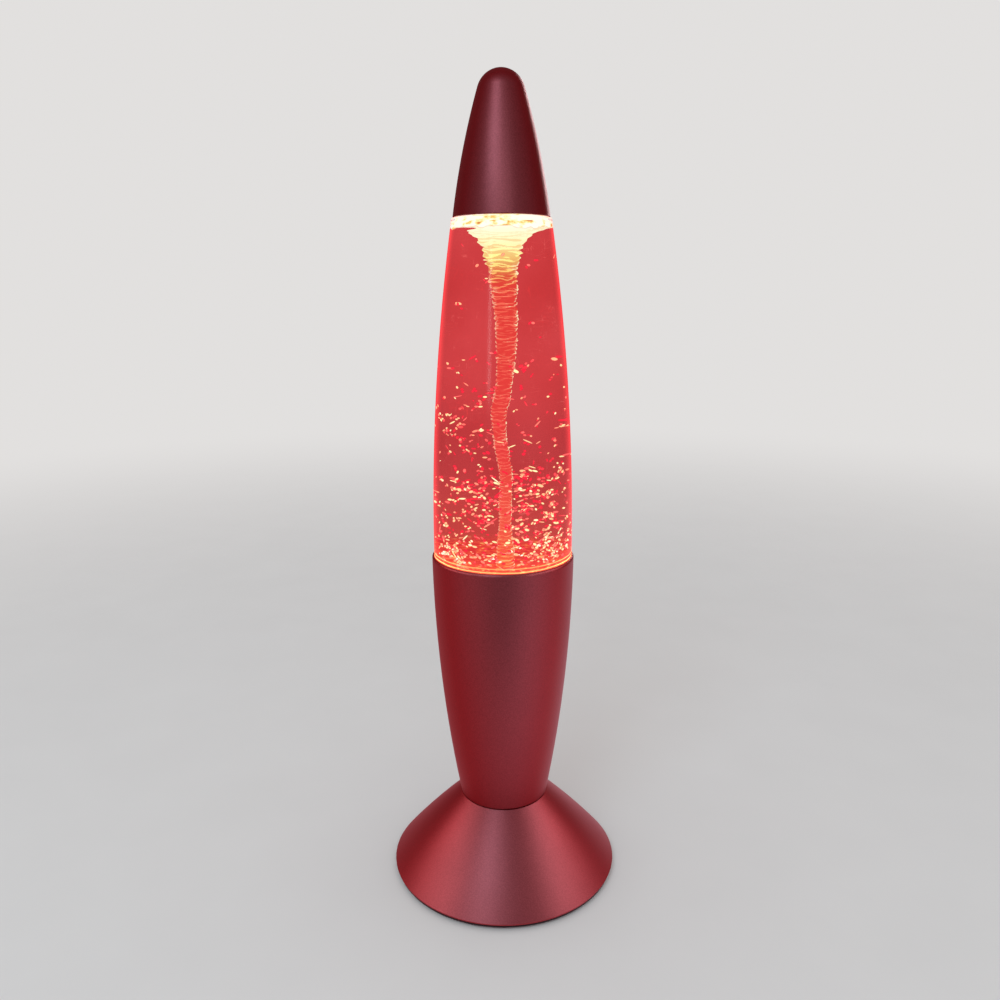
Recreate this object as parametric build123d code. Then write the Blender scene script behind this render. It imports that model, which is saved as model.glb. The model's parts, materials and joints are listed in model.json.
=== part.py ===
"""Tornado lamp: a sealed bottle of water, stirred into a vortex by a motor and magnets in the casing below.

Row frame: +Z up, origin on the table under the lamp's axis, front facing -Y. Millimetres.
The battery foot carries a tapered casing, the casing carries the bottle, and a pointed cap lifts off.
One STEP file per sub-part goes to parts/. Sizes below are driving dimensions or are worked out from them.
"""

import os
from math import cos, hypot, radians, sin

from build123d import *

# ---------------------------------------------------------------- driving dimensions

# Outside shape
HEIGHT = 330.0
FOOT_R = 49.0
FOOT_TOP_R = 18.9
FOOT_TOP = 35.0
FOOT_BULGE = 0.7  # how far the foot's flank bows out from a straight cone
FOOT_EDGE = 1.9  # underside of the foot shell
COLLAR_TOP = 144.1  # top of the casing's lip
CAP_EDGE = 277.6  # lower edge of the cap
CAP_EDGE_R = 18.7
CAP_DOME_R = 9.2

# The casing and the bottle are both turned arcs; each is widest at its belly
CASING_BELLY_R = 29.5
CASING_BELLY_Z = 150.0
CASING_ARC_R = 620.0
BOTTLE_BELLY_R = 28.6
BOTTLE_BELLY_Z = 150.0
BOTTLE_ARC_R = 858.0

# Walls and gaps
CASING_WALL = 1.8
BOTTLE_WALL = 2.0
SHELL_WALL = 2.0
CAP_WALL = 1.6
SEAM = 0.2  # shadow gap between stacked covers
FREE = 0.3  # assembly gap between a part and its housing
SNUG = 0.02  # gap left where one part is pressed or moulded into another
RUNNING = 0.05  # radial gap of a bearing

# Foot and base plate
PLATE_BOTTOM = 0.8
PLATE_TOP = 3.0
PLATE_RIM_R = 48.4
PLATE_RIM_TOP = 1.5
PLATE_SPIGOT_R = 45.3
DECK_T = 2.4
DECK_HOLE_R = 12.15
FOOT_PAD_R = 4.0
FOOT_PAD_RING_R = 41.8
FOOT_PAD_ANGLES = (60, 120, 240, 300)
BASE_SCREW_RING_R = 40.0
BASE_BOSS_R = 2.8
BASE_BOSS_BORE_TOP = 9.8
BASE_SCREW_ANGLES = (30, 150, 210, 330)

# Batteries: three AA cells side by side, joined in series
CELL_R = 7.0
CELL_BODY = 49.0
CELL_NUB = 1.2
CELL_NUB_R = 2.6
CELL_PITCH = 14.8
CELL_AXIS_Z = 10.6
CONTACT_T = 0.4
CONTACT_X = 28.0  # inner face of the contact plates
TRAY_WALL = 1.5
TRAY_TOP = 10.5
SPRING_R = 3.0
SPRING_WIRE_R = 0.3

# Battery door: a flat panel with a rounded hinge edge and two tabs hooked over the plate
DOOR_T = 1.8
DOOR_HALF_X = 27.7
DOOR_HALF_Y = 22.4
DOOR_TAB_Y = 12.0
DOOR_TAB_W = 5.0

# Rocker switch, set in the back of the foot's flank
SWITCH_SHARE = 0.42  # its place along the flank, from the bottom
SWITCH_BEZEL = (14.0, 10.0, 1.1)
BEZEL_SINK = 0.5  # depth of the flat seat for the bezel in the foot's skin
SWITCH_BODY = (11.6, 8.2, 8.0)
BLADE_OUT = 2.9
ROCKER_R = 3.5
ROCKER_HALF_WIDTH = 4.6
ROCKER_TILT = 8.0
ROCKER_PIN_R = 0.6
ROCKER_AXIS_DEPTH = -0.1  # the rocker's axis, measured out from the foot's skin

# Casing floor and the screws that hold foot, casing and chassis together
CASING_FLOOR_T = 2.4
SPIGOT_R = 12.0
SPIGOT_BORE_R = 10.4
SPIGOT_BOTTOM = 31.0
POST_RING_R = 15.0
POST_R = 2.3
POST_ANGLES = (90, 210, 330)

# Chassis, motor and light
CHASSIS_R = 24.0
CHASSIS_BOTTOM = 85.5
CHASSIS_TOP = 87.9
MOTOR_R = 12.2
MOTOR_BOTTOM = 74.0
MOTOR_WALL = 0.8
MOTOR_BOSS_R = 3.0
MOTOR_BOSS_TOP = 86.8
MOTOR_SCREW_X = 8.0
END_CAP_T = 1.6
END_CAP_HUB = 1.2
BUSH_R = 2.2
TERMINAL_Y = 7.5
TERMINAL_DROP = 3.4
FIELD_RING_R = 11.35
FIELD_RING_BORE_R = 9.5
FIELD_RING_BOTTOM = 77.2
FIELD_RING_TOP = 84.2
COMMUTATOR_R = 2.4
COMMUTATOR_TOP = 77.0
ARMATURE_R = 9.0
ARMATURE_BOTTOM = 77.4
ARMATURE_TOP = 83.4
POLE_GAP_R = 2.6
POLE_GAP_RING_R = 9.6
POLE_GAP_ANGLES = (0, 120, 240)
SHAFT_R = 1.0
BOARD_BOTTOM = 88.9
BOARD_TOP = 90.5
BOARD_R = 17.5
BOARD_HOLE_R = 10.5
LED_RING_R = 15.1
LED_R = 2.5
LED_TOP = 95.4
LED_ANGLES = (90, 210, 330)
BOSS_ANGLES = (30, 150, 270)
BOSS_RING_R = 19.7
BOSS_R = 2.0
CARRIER_R = 11.6
CARRIER_BOTTOM = 91.6
CARRIER_TOP = 95.4
DRIVE_MAGNET_R = 3.5
DRIVE_MAGNET_H = 2.5
MAGNET_RING_R = 7.2

# Bottle
BOTTLE_BOTTOM = 96.8
BOTTLE_FLOOR_T = 2.2
BOTTLE_STEP = 138.05
BOTTLE_TOP = 277.4
NECK_R = 14.0
NECK_BORE_R = 11.8
NECK_TOP = 288.0
WATER_TOP = 274.5
WATER_GAP = 0.08
STOPPER_FLANGE_R = 13.6
STOPPER_FLANGE_TOP = 290.2
SEAL_Z = 283.0
SEAL_GROOVE_R = 9.8

# Impeller, stirred through the bottle's floor
PIN_R = 1.0
PIN_TOP = 111.4
IMPELLER_R = 13.0
IMPELLER_BOTTOM = 100.35
IMPELLER_DISC_T = 2.8
IMPELLER_MAGNET_R = 3.0
IMPELLER_MAGNET_H = 2.0
VANE_TOP = 109.2
VANE_COUNT = 4
VANE_T = 1.4
STIR_ROOM_R = 14.0  # cylinder of water the impeller sweeps
STIR_ROOM_TOP = 113.2

# Wire and screws
WIRE_R = 0.6
SCREW_R = 1.25
SCREW_HEAD_R = 2.2
SCREW_HEAD_H = 1.2
SMALL_SCREW_R = 0.95
SMALL_HEAD_R = 1.7
SMALL_HEAD_H = 1.1
SCREW_HOLE_GAP = 0.15
THREAD_GAP = 0.03

BOTTLE_FLOOR = BOTTLE_BOTTOM + BOTTLE_FLOOR_T
CASING_BOTTOM = FOOT_TOP + SEAM
CASING_FLOOR = CASING_BOTTOM + CASING_FLOOR_T
END_CAP_TOP = MOTOR_BOTTOM + END_CAP_T
HUB_BOTTOM = MOTOR_BOTTOM - END_CAP_HUB

UP = (Align.CENTER, Align.CENTER, Align.MIN)


# ---------------------------------------------------------------- outline helpers

def turned(start, *steps):
    """Solid turned about +Z from a closed outline of (radius, height) points.

    A step is the next point, or (through, end) for an arc, and the outline closes with a line.
    """
    edges = []
    here = start
    for step in (*steps, start):
        if isinstance(step[0], tuple):
            through, there = step
            edges.append(ThreePointArc(here, through, there))
        else:
            there = step
            if there != here:
                edges.append(Line(here, there))
        here = there
    return revolve(make_face(Plane.XZ * (Curve() + edges)), Axis.Z)


def along(radius_at, bottom, top):
    """Arc step of an outline that follows radius_at(z) from one height to another."""
    middle = (bottom + top) / 2
    return (radius_at(middle), middle), (radius_at(top), top)


def casing_r(z):
    return CASING_BELLY_R - (CASING_BELLY_Z - z) ** 2 / (2 * CASING_ARC_R)


def casing_inner_r(z):
    return casing_r(z) - CASING_WALL


def bottle_r(z):
    return BOTTLE_BELLY_R - (z - BOTTLE_BELLY_Z) ** 2 / (2 * BOTTLE_ARC_R)


def bottle_foot_r(z):
    """Outside of the bottle where it stands inside the casing."""
    return casing_inner_r(z) - FREE


def bottle_inner_r(z):
    """Inside of the bottle, above and below its belly."""
    if z >= BOTTLE_BELLY_Z:
        return bottle_r(z) - BOTTLE_WALL
    drop = (BOTTLE_BELLY_Z - z) / (BOTTLE_BELLY_Z - BOTTLE_FLOOR)
    return BOTTLE_BELLY_R - BOTTLE_WALL - 1.4 * drop - 1.8 * drop**2


def rod(radius, bottom, top, x=0.0, y=0.0):
    """Upright cylinder between two heights."""
    return Pos(x, y, bottom) * Cylinder(radius, top - bottom, align=UP)


def tube(outer, inner, bottom, top, x=0.0, y=0.0):
    return rod(outer, bottom, top, x, y) - rod(inner, bottom, top, x, y)


def block(low, high):
    """Box between two opposite corners."""
    size = [b - a for a, b in zip(low, high)]
    return Pos(*low) * Box(*size, align=(Align.MIN, Align.MIN, Align.MIN))


def ring_points(radius, angles):
    return [(radius * cos(radians(a)), radius * sin(radians(a))) for a in angles]


def screw(radius, length, head_r, head_h):
    """Pan-head screw, tip up, with the underside of its head at height 0 and a cross recess."""
    rounding = 0.35 * head_h
    head = fillet(rod(head_r, -head_h, 0).edges().group_by(Axis.Z)[0], rounding)
    slot = (2 * head_r * 0.62, head_r * 0.2, head_h * 0.5)
    recess = Pos(0, 0, -head_h) * (Box(*slot, align=UP) + Rot(0, 0, 90) * Box(*slot, align=UP))
    shank = chamfer(rod(radius, 0, length).edges().group_by(Axis.Z)[-1], radius * 0.4)
    return head + shank - recess


def screws_up(points, seat, length):
    """Screws driven upward, with their heads' undersides at one height."""
    one = screw(SCREW_R, length, SCREW_HEAD_R, SCREW_HEAD_H)
    return [Pos(x, y, seat) * one for x, y in points]


def small_screws_down(points, seat, length):
    one = Rot(180, 0, 0) * screw(SMALL_SCREW_R, length, SMALL_HEAD_R, SMALL_HEAD_H)
    return [Pos(x, y, seat) * one for x, y in points]


# ---------------------------------------------------------------- foot

FLANK_START = (FOOT_R, FOOT_EDGE + 1.0)
FLANK_END = (FOOT_TOP_R, FOOT_TOP)
FLANK_RUN = (FLANK_END[0] - FLANK_START[0], FLANK_END[1] - FLANK_START[1])
FLANK_LENGTH = hypot(*FLANK_RUN)
FLANK_NORMAL = (FLANK_RUN[1] / FLANK_LENGTH, -FLANK_RUN[0] / FLANK_LENGTH)


def flank_point(share, depth=0.0):
    """(radius, height) on the foot's bowed flank, or that far under its skin."""
    out = 4 * FOOT_BULGE * share * (1 - share) - depth
    radius = FLANK_START[0] + share * FLANK_RUN[0] + out * FLANK_NORMAL[0]
    height = FLANK_START[1] + share * FLANK_RUN[1] + out * FLANK_NORMAL[1]
    return radius, height


def inner_flank(height):
    """(radius, height) on the inner face of the foot's flank."""
    share = (height - FLANK_START[1] + SHELL_WALL * FLANK_NORMAL[1]) / FLANK_RUN[1]
    return flank_point(share, SHELL_WALL)[0], height


SWITCH_R, SWITCH_Z = flank_point(SWITCH_SHARE)
SWITCH_PLANE = Plane(
    origin=(0, SWITCH_R, SWITCH_Z),
    x_dir=(1, 0, 0),
    z_dir=(0, FLANK_NORMAL[0], FLANK_NORMAL[1]),
)


def foot_envelope():
    """The foot's outer cone as a solid, to trim what is built inside it."""
    return turned(
        (0, FOOT_EDGE),
        (FOOT_R - 1.0, FOOT_EDGE),
        ((FOOT_R - 0.3, FOOT_EDGE + 0.3), FLANK_START),
        (flank_point(0.5), FLANK_END),
        (0, FOOT_TOP),
    )


def foot_hollow():
    deck_under = FOOT_TOP - DECK_T
    bottom = inner_flank(FOOT_EDGE)
    top = inner_flank(deck_under)
    middle = inner_flank((FOOT_EDGE + deck_under) / 2)
    return turned((0, FOOT_EDGE), bottom, (middle, top), (0, deck_under))


def foot_shell():
    outside = foot_envelope()
    shell = outside - foot_hollow() - rod(DECK_HOLE_R, FOOT_TOP - 2 * DECK_T, FOOT_TOP)
    for x, y in ring_points(BASE_SCREW_RING_R, BASE_SCREW_ANGLES):
        boss = rod(BASE_BOSS_R, PLATE_TOP + 0.05, FOOT_TOP / 2, x, y) & outside
        shell = shell + boss - rod(SCREW_R + THREAD_GAP, FOOT_EDGE, BASE_BOSS_BORE_TOP, x, y)
    for x, y in ring_points(POST_RING_R, POST_ANGLES):
        shell = shell - rod(SCREW_R + SCREW_HOLE_GAP, FOOT_TOP - 2 * DECK_T, FOOT_TOP, x, y)
    width, height, depth = SWITCH_BODY
    window = Box(width + FREE, height + FREE, 2 * depth)
    bezel_width, bezel_height, _ = SWITCH_BEZEL
    seat = Pos(0, 0, -BEZEL_SINK - 0.05) * Box(bezel_width + FREE, bezel_height + FREE, depth, align=UP)
    return shell - SWITCH_PLANE * (window + seat)


def base_plate():
    plate = turned(
        (0, PLATE_BOTTOM),
        (PLATE_RIM_R - 0.3, PLATE_BOTTOM),
        (PLATE_RIM_R, PLATE_BOTTOM + 0.3),
        (PLATE_RIM_R, PLATE_RIM_TOP),
        (PLATE_SPIGOT_R, PLATE_RIM_TOP),
        (PLATE_SPIGOT_R - 0.6, PLATE_TOP),
        (0, PLATE_TOP),
    )
    half_x = DOOR_HALF_X + FREE
    half_y = DOOR_HALF_Y + FREE
    wall_x = CONTACT_X + CONTACT_T + 0.05
    out_x = wall_x + TRAY_WALL
    out_y = half_y + TRAY_WALL
    tray = block((-out_x, -out_y, PLATE_TOP - 1), (out_x, out_y, TRAY_TOP))
    room = block((-wall_x, -half_y, PLATE_TOP), (wall_x, half_y, TRAY_TOP + 1))
    opening = block((-half_x, -half_y, 0), (half_x, half_y, PLATE_TOP + 1))
    plate = plate + tray - room - opening
    for side in (-1, 1):
        middle = side * DOOR_TAB_Y
        reach = DOOR_TAB_W / 2 + FREE
        low = (-wall_x - 2 * TRAY_WALL, middle - reach, PLATE_TOP)
        high = (-wall_x + 1, middle + reach, PLATE_TOP + 3.8)
        plate = plate - block(low, high)
    for x, y in ring_points(BASE_SCREW_RING_R, BASE_SCREW_ANGLES):
        plate = plate - rod(SCREW_R + SCREW_HOLE_GAP, 0, PLATE_TOP, x, y)
        plate = plate - rod(SCREW_HEAD_R + FREE, 0, PLATE_BOTTOM + SCREW_HEAD_H + 0.05, x, y)
    for x, y in ring_points(FOOT_PAD_RING_R, FOOT_PAD_ANGLES):
        plate = plate - rod(FOOT_PAD_R + 0.1, 0, PLATE_BOTTOM + 0.5, x, y)
    return plate


def rubber_feet():
    pads = []
    for x, y in ring_points(FOOT_PAD_RING_R, FOOT_PAD_ANGLES):
        pad = rod(FOOT_PAD_R, 0, PLATE_BOTTOM + 0.45, x, y)
        pads.append(fillet(pad.edges().group_by(Axis.Z)[0], 0.4))
    return pads


def base_screws():
    points = ring_points(BASE_SCREW_RING_R, BASE_SCREW_ANGLES)
    return screws_up(points, PLATE_BOTTOM + SCREW_HEAD_H, 7.4)


# ---------------------------------------------------------------- batteries

def cell_places():
    """(y, direction of the cell's plus end) for each cell."""
    return [(-CELL_PITCH, 1), (0.0, -1), (CELL_PITCH, 1)]


def aa_cells():
    tip = CONTACT_X - SNUG
    cells = []
    for y, toward in cell_places():
        nub = rod(CELL_NUB_R, CELL_BODY, CELL_BODY + CELL_NUB)
        can = rod(CELL_R, 0, CELL_BODY)
        can = fillet(can.edges(), 0.6)
        upright = Pos(0, 0, -CELL_BODY - CELL_NUB) * (can + nub)
        cells.append(Pos(toward * tip, y, CELL_AXIS_Z) * Rot(0, toward * 90, 0) * upright)
    return cells


def battery_springs():
    """Coil springs pressing on the minus ends."""
    gap = 2 * CONTACT_X - SNUG - CELL_BODY - CELL_NUB
    length = gap - 2 * SPRING_WIRE_R - 0.1
    path = Helix(pitch=length / 4, height=length, radius=SPRING_R)
    wire = Plane(origin=path @ 0, z_dir=path % 0) * Circle(SPRING_WIRE_R)
    coil = sweep(wire, path=path, is_frenet=True)
    springs = []
    for y, toward in cell_places():
        start = Pos(-toward * (CONTACT_X - SPRING_WIRE_R - 0.05), y, CELL_AXIS_Z)
        springs.append(start * Rot(0, toward * 90, 0) * coil)
    return springs


def battery_contacts():
    """Two single end plates and two bridges, which wire the three cells in series."""
    half = 4.6
    height = (CELL_AXIS_Z - 4.2, CELL_AXIS_Z + 4.2)
    spans = [(-1, -CELL_PITCH, 0.0), (-1, CELL_PITCH, CELL_PITCH)]
    spans += [(1, -CELL_PITCH, -CELL_PITCH), (1, 0.0, CELL_PITCH)]
    plates = []
    for side, low_y, high_y in spans:
        near, far = sorted((side * CONTACT_X, side * (CONTACT_X + CONTACT_T)))
        plates.append(block((near, low_y - half, height[0]), (far, high_y + half, height[1])))
    return plates


def battery_door():
    """Panel whose hinge edge is a full round, with two hooks, a springy latch tongue and grip grooves."""
    radius = DOOR_T / 2
    axis_x = -DOOR_HALF_X + radius
    top = PLATE_BOTTOM + DOOR_T
    panel = block((axis_x, -DOOR_HALF_Y, PLATE_BOTTOM), (DOOR_HALF_X, DOOR_HALF_Y, top))
    edge = Cylinder(radius, 2 * DOOR_HALF_Y, rotation=(90, 0, 0))
    panel = panel + Pos(axis_x, 0, PLATE_BOTTOM + radius) * edge
    for side in (-1, 1):
        low_y = side * DOOR_TAB_Y - DOOR_TAB_W / 2
        high_y = low_y + DOOR_TAB_W
        riser = block((axis_x - 0.6, low_y, top - 0.6), (axis_x + 1.4, high_y, PLATE_TOP + 1.2))
        hook = block((axis_x - 3.6, low_y, PLATE_TOP + 0.15), (axis_x + 1.4, high_y, PLATE_TOP + 1.2))
        panel = panel + riser + hook
    for side in (-1, 1):
        slit = block((DOOR_HALF_X - 12, side * 8 - 0.4, 0), (DOOR_HALF_X, side * 8 + 0.4, PLATE_TOP))
        panel = panel - slit
    for index in range(4):
        x = DOOR_HALF_X - 3.2 - 1.8 * index
        panel = panel - block((x, -6, 0), (x + 0.9, 6, PLATE_BOTTOM + 0.4))
    return panel


# ---------------------------------------------------------------- rocker switch

def switch_housing():
    width, height, depth = SWITCH_BODY
    bezel = Box(*SWITCH_BEZEL, align=UP)
    bezel = fillet(bezel.edges().filter_by(Axis.Z), 1.2)
    bezel = Pos(0, 0, -BEZEL_SINK) * fillet(bezel.edges().group_by(Axis.Z)[-1], 0.4)
    body = Pos(0, 0, -depth) * Box(width, height, depth, align=UP)
    half_slot = ROCKER_R + 0.1
    cavity = Pos(0, 0, -5.0) * Box(2 * ROCKER_HALF_WIDTH + 0.2, 2 * half_slot, 10, align=UP)
    bore = Rot(0, 90, 0) * Cylinder(ROCKER_PIN_R + RUNNING, 2 * ROCKER_HALF_WIDTH + 1.4)
    whole = bezel + body - cavity - Pos(0, 0, ROCKER_AXIS_DEPTH) * bore
    for x in (-3.0, 3.0):
        whole = whole - Pos(x, 0, -depth) * Box(0.84, 2.84, 2.4)
    return SWITCH_PLANE * whole


def switch_rocker():
    """Rocker standing at its on position, tipped about its pins."""
    barrel = Rot(0, 90, 0) * Cylinder(ROCKER_R, 2 * ROCKER_HALF_WIDTH)
    keep = Pos(0, 0, -1.8) * Box(20, 20, 10, align=UP)
    for tilt in (-ROCKER_TILT, ROCKER_TILT):
        half = Pos(0, -10 if tilt > 0 else 10, 1.35) * Box(20, 20, 10, align=UP)
        keep = keep - Rot(tilt, 0, 0) * half
    pins = Rot(0, 90, 0) * Cylinder(ROCKER_PIN_R, 2 * ROCKER_HALF_WIDTH + 1.2)
    shape = (barrel & keep) + pins
    return SWITCH_PLANE * Pos(0, 0, ROCKER_AXIS_DEPTH) * Rot(ROCKER_TILT, 0, 0) * shape


def switch_terminals():
    depth = SWITCH_BODY[2]
    blade = Pos(0, 0, -depth - BLADE_OUT) * Box(0.8, 2.8, BLADE_OUT + 1.1, align=UP)
    return [SWITCH_PLANE * Pos(x, 0, 0) * blade for x in (-3.0, 3.0)]


# ---------------------------------------------------------------- casing and chassis

def casing():
    lip_z = COLLAR_TOP - 1.2
    seat_z = BOTTLE_STEP - 0.65
    recess_r = BOTTLE_BELLY_R + 0.12
    edge_r = casing_r(CASING_BOTTOM + 0.6)
    shell = turned(
        (edge_r - 0.6, CASING_BOTTOM),
        ((edge_r - 0.18, CASING_BOTTOM + 0.18), (edge_r, CASING_BOTTOM + 0.6)),
        along(casing_r, CASING_BOTTOM + 0.6, lip_z),
        ((casing_r(lip_z) - 0.22, COLLAR_TOP - 0.42), (recess_r + 0.1, COLLAR_TOP)),
        (recess_r, COLLAR_TOP - 0.1),
        (recess_r, seat_z),
        (casing_inner_r(seat_z), seat_z),
        along(casing_inner_r, seat_z, CASING_FLOOR),
        (SPIGOT_BORE_R, CASING_FLOOR),
        (SPIGOT_BORE_R, SPIGOT_BOTTOM),
        (SPIGOT_R, SPIGOT_BOTTOM),
        (SPIGOT_R, CASING_BOTTOM),
    )
    for x, y in ring_points(POST_RING_R, POST_ANGLES):
        shell = shell - rod(SCREW_R + SCREW_HOLE_GAP, CASING_BOTTOM - 1, CASING_FLOOR + 1, x, y)
    return shell


def casing_screws():
    return screws_up(ring_points(POST_RING_R, POST_ANGLES), FOOT_TOP - DECK_T, 13.0)


def collar_seal():
    """Soft ring between the bottle's step and the casing's ledge."""
    inner = casing_inner_r(BOTTLE_STEP) + 0.1
    return tube(BOTTLE_BELLY_R - 0.05, inner, BOTTLE_STEP - 0.6, BOTTLE_STEP - 0.05)


def chassis():
    """Disc that carries the motor and the light board, on three long posts down to the casing's floor."""
    disc = rod(CHASSIS_R, CHASSIS_BOTTOM, CHASSIS_TOP)
    disc = disc - rod(MOTOR_BOSS_R + 0.1, CHASSIS_BOTTOM, CHASSIS_TOP)
    for x, y in ring_points(POST_RING_R, POST_ANGLES):
        foot = CASING_FLOOR + 0.05
        disc = disc + rod(POST_R, foot, CHASSIS_BOTTOM + 1, x, y)
        disc = disc - rod(SCREW_R + THREAD_GAP, foot, foot + 10, x, y)
    for x, y in ring_points(POST_RING_R, BOSS_ANGLES):
        disc = disc + rod(2.0, CHASSIS_TOP - 1, BOARD_BOTTOM - 0.05, x, y)
        disc = disc - rod(SMALL_SCREW_R + THREAD_GAP, CHASSIS_BOTTOM + 0.4, BOARD_BOTTOM, x, y)
    for x, y in ring_points(BOSS_RING_R, BOSS_ANGLES):
        disc = disc - rod(SCREW_R + SCREW_HOLE_GAP, CHASSIS_BOTTOM, CHASSIS_TOP, x, y)
    for side in (-1, 1):
        hole = rod(SMALL_SCREW_R + SCREW_HOLE_GAP, CHASSIS_BOTTOM, CHASSIS_TOP)
        disc = disc - Pos(side * MOTOR_SCREW_X, 0, 0) * hole
        disc = disc - rod(1.6, CHASSIS_BOTTOM, CHASSIS_TOP, *wire_gate(side))
    return disc


def wire_gate(side):
    """Hole in the chassis that a lead passes through, up to the light board."""
    return 20.4 * side, 0.0


# ---------------------------------------------------------------- motor

def motor_can():
    """Drawn steel can, open at the bottom, with a bearing boss on top."""
    top = CHASSIS_BOTTOM - 0.1
    inner = MOTOR_R - MOTOR_WALL
    can = turned(
        (inner, MOTOR_BOTTOM),
        (MOTOR_R, MOTOR_BOTTOM),
        (MOTOR_R, top - 0.8),
        ((MOTOR_R - 0.24, top - 0.24), (MOTOR_R - 0.8, top)),
        (MOTOR_BOSS_R, top),
        (MOTOR_BOSS_R, MOTOR_BOSS_TOP),
        (BUSH_R + SNUG, MOTOR_BOSS_TOP),
        (BUSH_R + SNUG, top - MOTOR_WALL),
        (inner, top - MOTOR_WALL),
    )
    for side in (-1, 1):
        can = can - rod(SMALL_SCREW_R + THREAD_GAP, top - 2, top, side * MOTOR_SCREW_X)
    return can


def motor_end_cap():
    inner = MOTOR_R - MOTOR_WALL - SNUG
    cap = rod(inner, MOTOR_BOTTOM, END_CAP_TOP) + rod(3.4, HUB_BOTTOM, END_CAP_TOP)
    cap = cap - rod(BUSH_R + SNUG, HUB_BOTTOM + 0.6, END_CAP_TOP)
    for side in (-1, 1):
        y = side * TERMINAL_Y
        cap = cap - block((-1.52, y - 0.32, MOTOR_BOTTOM), (1.52, y + 0.32, END_CAP_TOP))
    return cap


def motor_bushes():
    bore = SHAFT_R + RUNNING
    lower = tube(BUSH_R, bore, HUB_BOTTOM + 0.7, END_CAP_TOP)
    upper = tube(BUSH_R, bore, CHASSIS_BOTTOM - 0.9, MOTOR_BOSS_TOP)
    return [lower, upper]


def motor_terminals():
    blades = []
    for side in (-1, 1):
        y = side * TERMINAL_Y
        blade = block((-1.5, y - 0.3, MOTOR_BOTTOM - TERMINAL_DROP), (1.5, y + 0.3, END_CAP_TOP))
        eye = Pos(0, y, MOTOR_BOTTOM - 2.2) * Cylinder(0.6, 2, rotation=(90, 0, 0))
        blades.append(blade - eye)
    return blades


def motor_brushes():
    """Leaf brushes from the terminals to the commutator."""
    low = END_CAP_TOP + 0.1
    leaves = []
    for side in (-1, 1):
        inner, outer = sorted((side * 2.5, side * TERMINAL_Y))
        leaves.append(block((-0.7, inner, low), (0.7, outer, low + 0.8)))
    return leaves


def motor_magnet_ring():
    return tube(FIELD_RING_R, FIELD_RING_BORE_R, FIELD_RING_BOTTOM, FIELD_RING_TOP)


def motor_shaft():
    shaft = rod(SHAFT_R, HUB_BOTTOM + 0.7, CARRIER_TOP - 0.8)
    return chamfer(shaft.edges().group_by(Axis.Z)[-1], 0.2)


def motor_commutator():
    return tube(COMMUTATOR_R, SHAFT_R + SNUG, END_CAP_TOP + 0.05, COMMUTATOR_TOP)


def motor_armature():
    """Three-pole core with its windings, as one lobed block on the shaft."""
    core = tube(ARMATURE_R, SHAFT_R + SNUG, ARMATURE_BOTTOM, ARMATURE_TOP)
    for x, y in ring_points(POLE_GAP_RING_R, POLE_GAP_ANGLES):
        core = core - rod(POLE_GAP_R, ARMATURE_BOTTOM, ARMATURE_TOP, x, y)
    return core


def motor_screws():
    return small_screws_down([(-MOTOR_SCREW_X, 0), (MOTOR_SCREW_X, 0)], CHASSIS_TOP, 3.4)


# ---------------------------------------------------------------- magnet drive and light

def magnet_points():
    return ring_points(MAGNET_RING_R, (0, 180))


def magnet_carrier():
    carrier = rod(CARRIER_R, CARRIER_BOTTOM, CARRIER_TOP) + rod(3.0, CARRIER_BOTTOM - 1.4, CARRIER_BOTTOM)
    carrier = fillet(carrier.edges().group_by(Axis.Z)[-1], 0.5)
    carrier = carrier - rod(SHAFT_R + SNUG, CARRIER_BOTTOM - 2, CARRIER_TOP - 0.7)
    for x, y in magnet_points():
        pocket = rod(DRIVE_MAGNET_R + SNUG, CARRIER_TOP - DRIVE_MAGNET_H - SNUG, CARRIER_TOP)
        carrier = carrier - Pos(x, y, 0) * pocket
    return carrier


def drive_magnets():
    magnet = rod(DRIVE_MAGNET_R, CARRIER_TOP - DRIVE_MAGNET_H, CARRIER_TOP)
    return [Pos(x, y, 0) * magnet for x, y in magnet_points()]


def led_board():
    board = tube(BOARD_R, BOARD_HOLE_R, BOARD_BOTTOM, BOARD_TOP)
    for x, y in ring_points(POST_RING_R, BOSS_ANGLES):
        board = board - rod(SMALL_SCREW_R + SCREW_HOLE_GAP, BOARD_BOTTOM, BOARD_TOP, x, y)
    return board


def leds():
    lamps = []
    bottom = BOARD_TOP + 0.05
    dome_z = LED_TOP - LED_R
    for x, y in ring_points(LED_RING_R, LED_ANGLES):
        lens = rod(LED_R, bottom, dome_z) + Pos(0, 0, dome_z) * Sphere(LED_R, arc_size1=0)
        lamps.append(Pos(x, y, 0) * (lens + rod(LED_R + 0.3, bottom, bottom + 0.85)))
    return lamps


def board_components():
    """The colour controller chip and three resistors, between the lamps."""
    parts = []
    chip = (3.2, 4.6, 1.5)
    resistor = (1.6, 3.0, 0.7)
    for angle, size in ((60, chip), (0, resistor), (120, resistor), (180, resistor)):
        parts.append(Rot(0, 0, angle) * Pos(13.6, 0, BOARD_TOP + 0.02) * Box(*size, align=UP))
    return parts


def board_screws():
    return small_screws_down(ring_points(POST_RING_R, BOSS_ANGLES), BOARD_TOP, 4.0)


# ---------------------------------------------------------------- bottle

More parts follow.
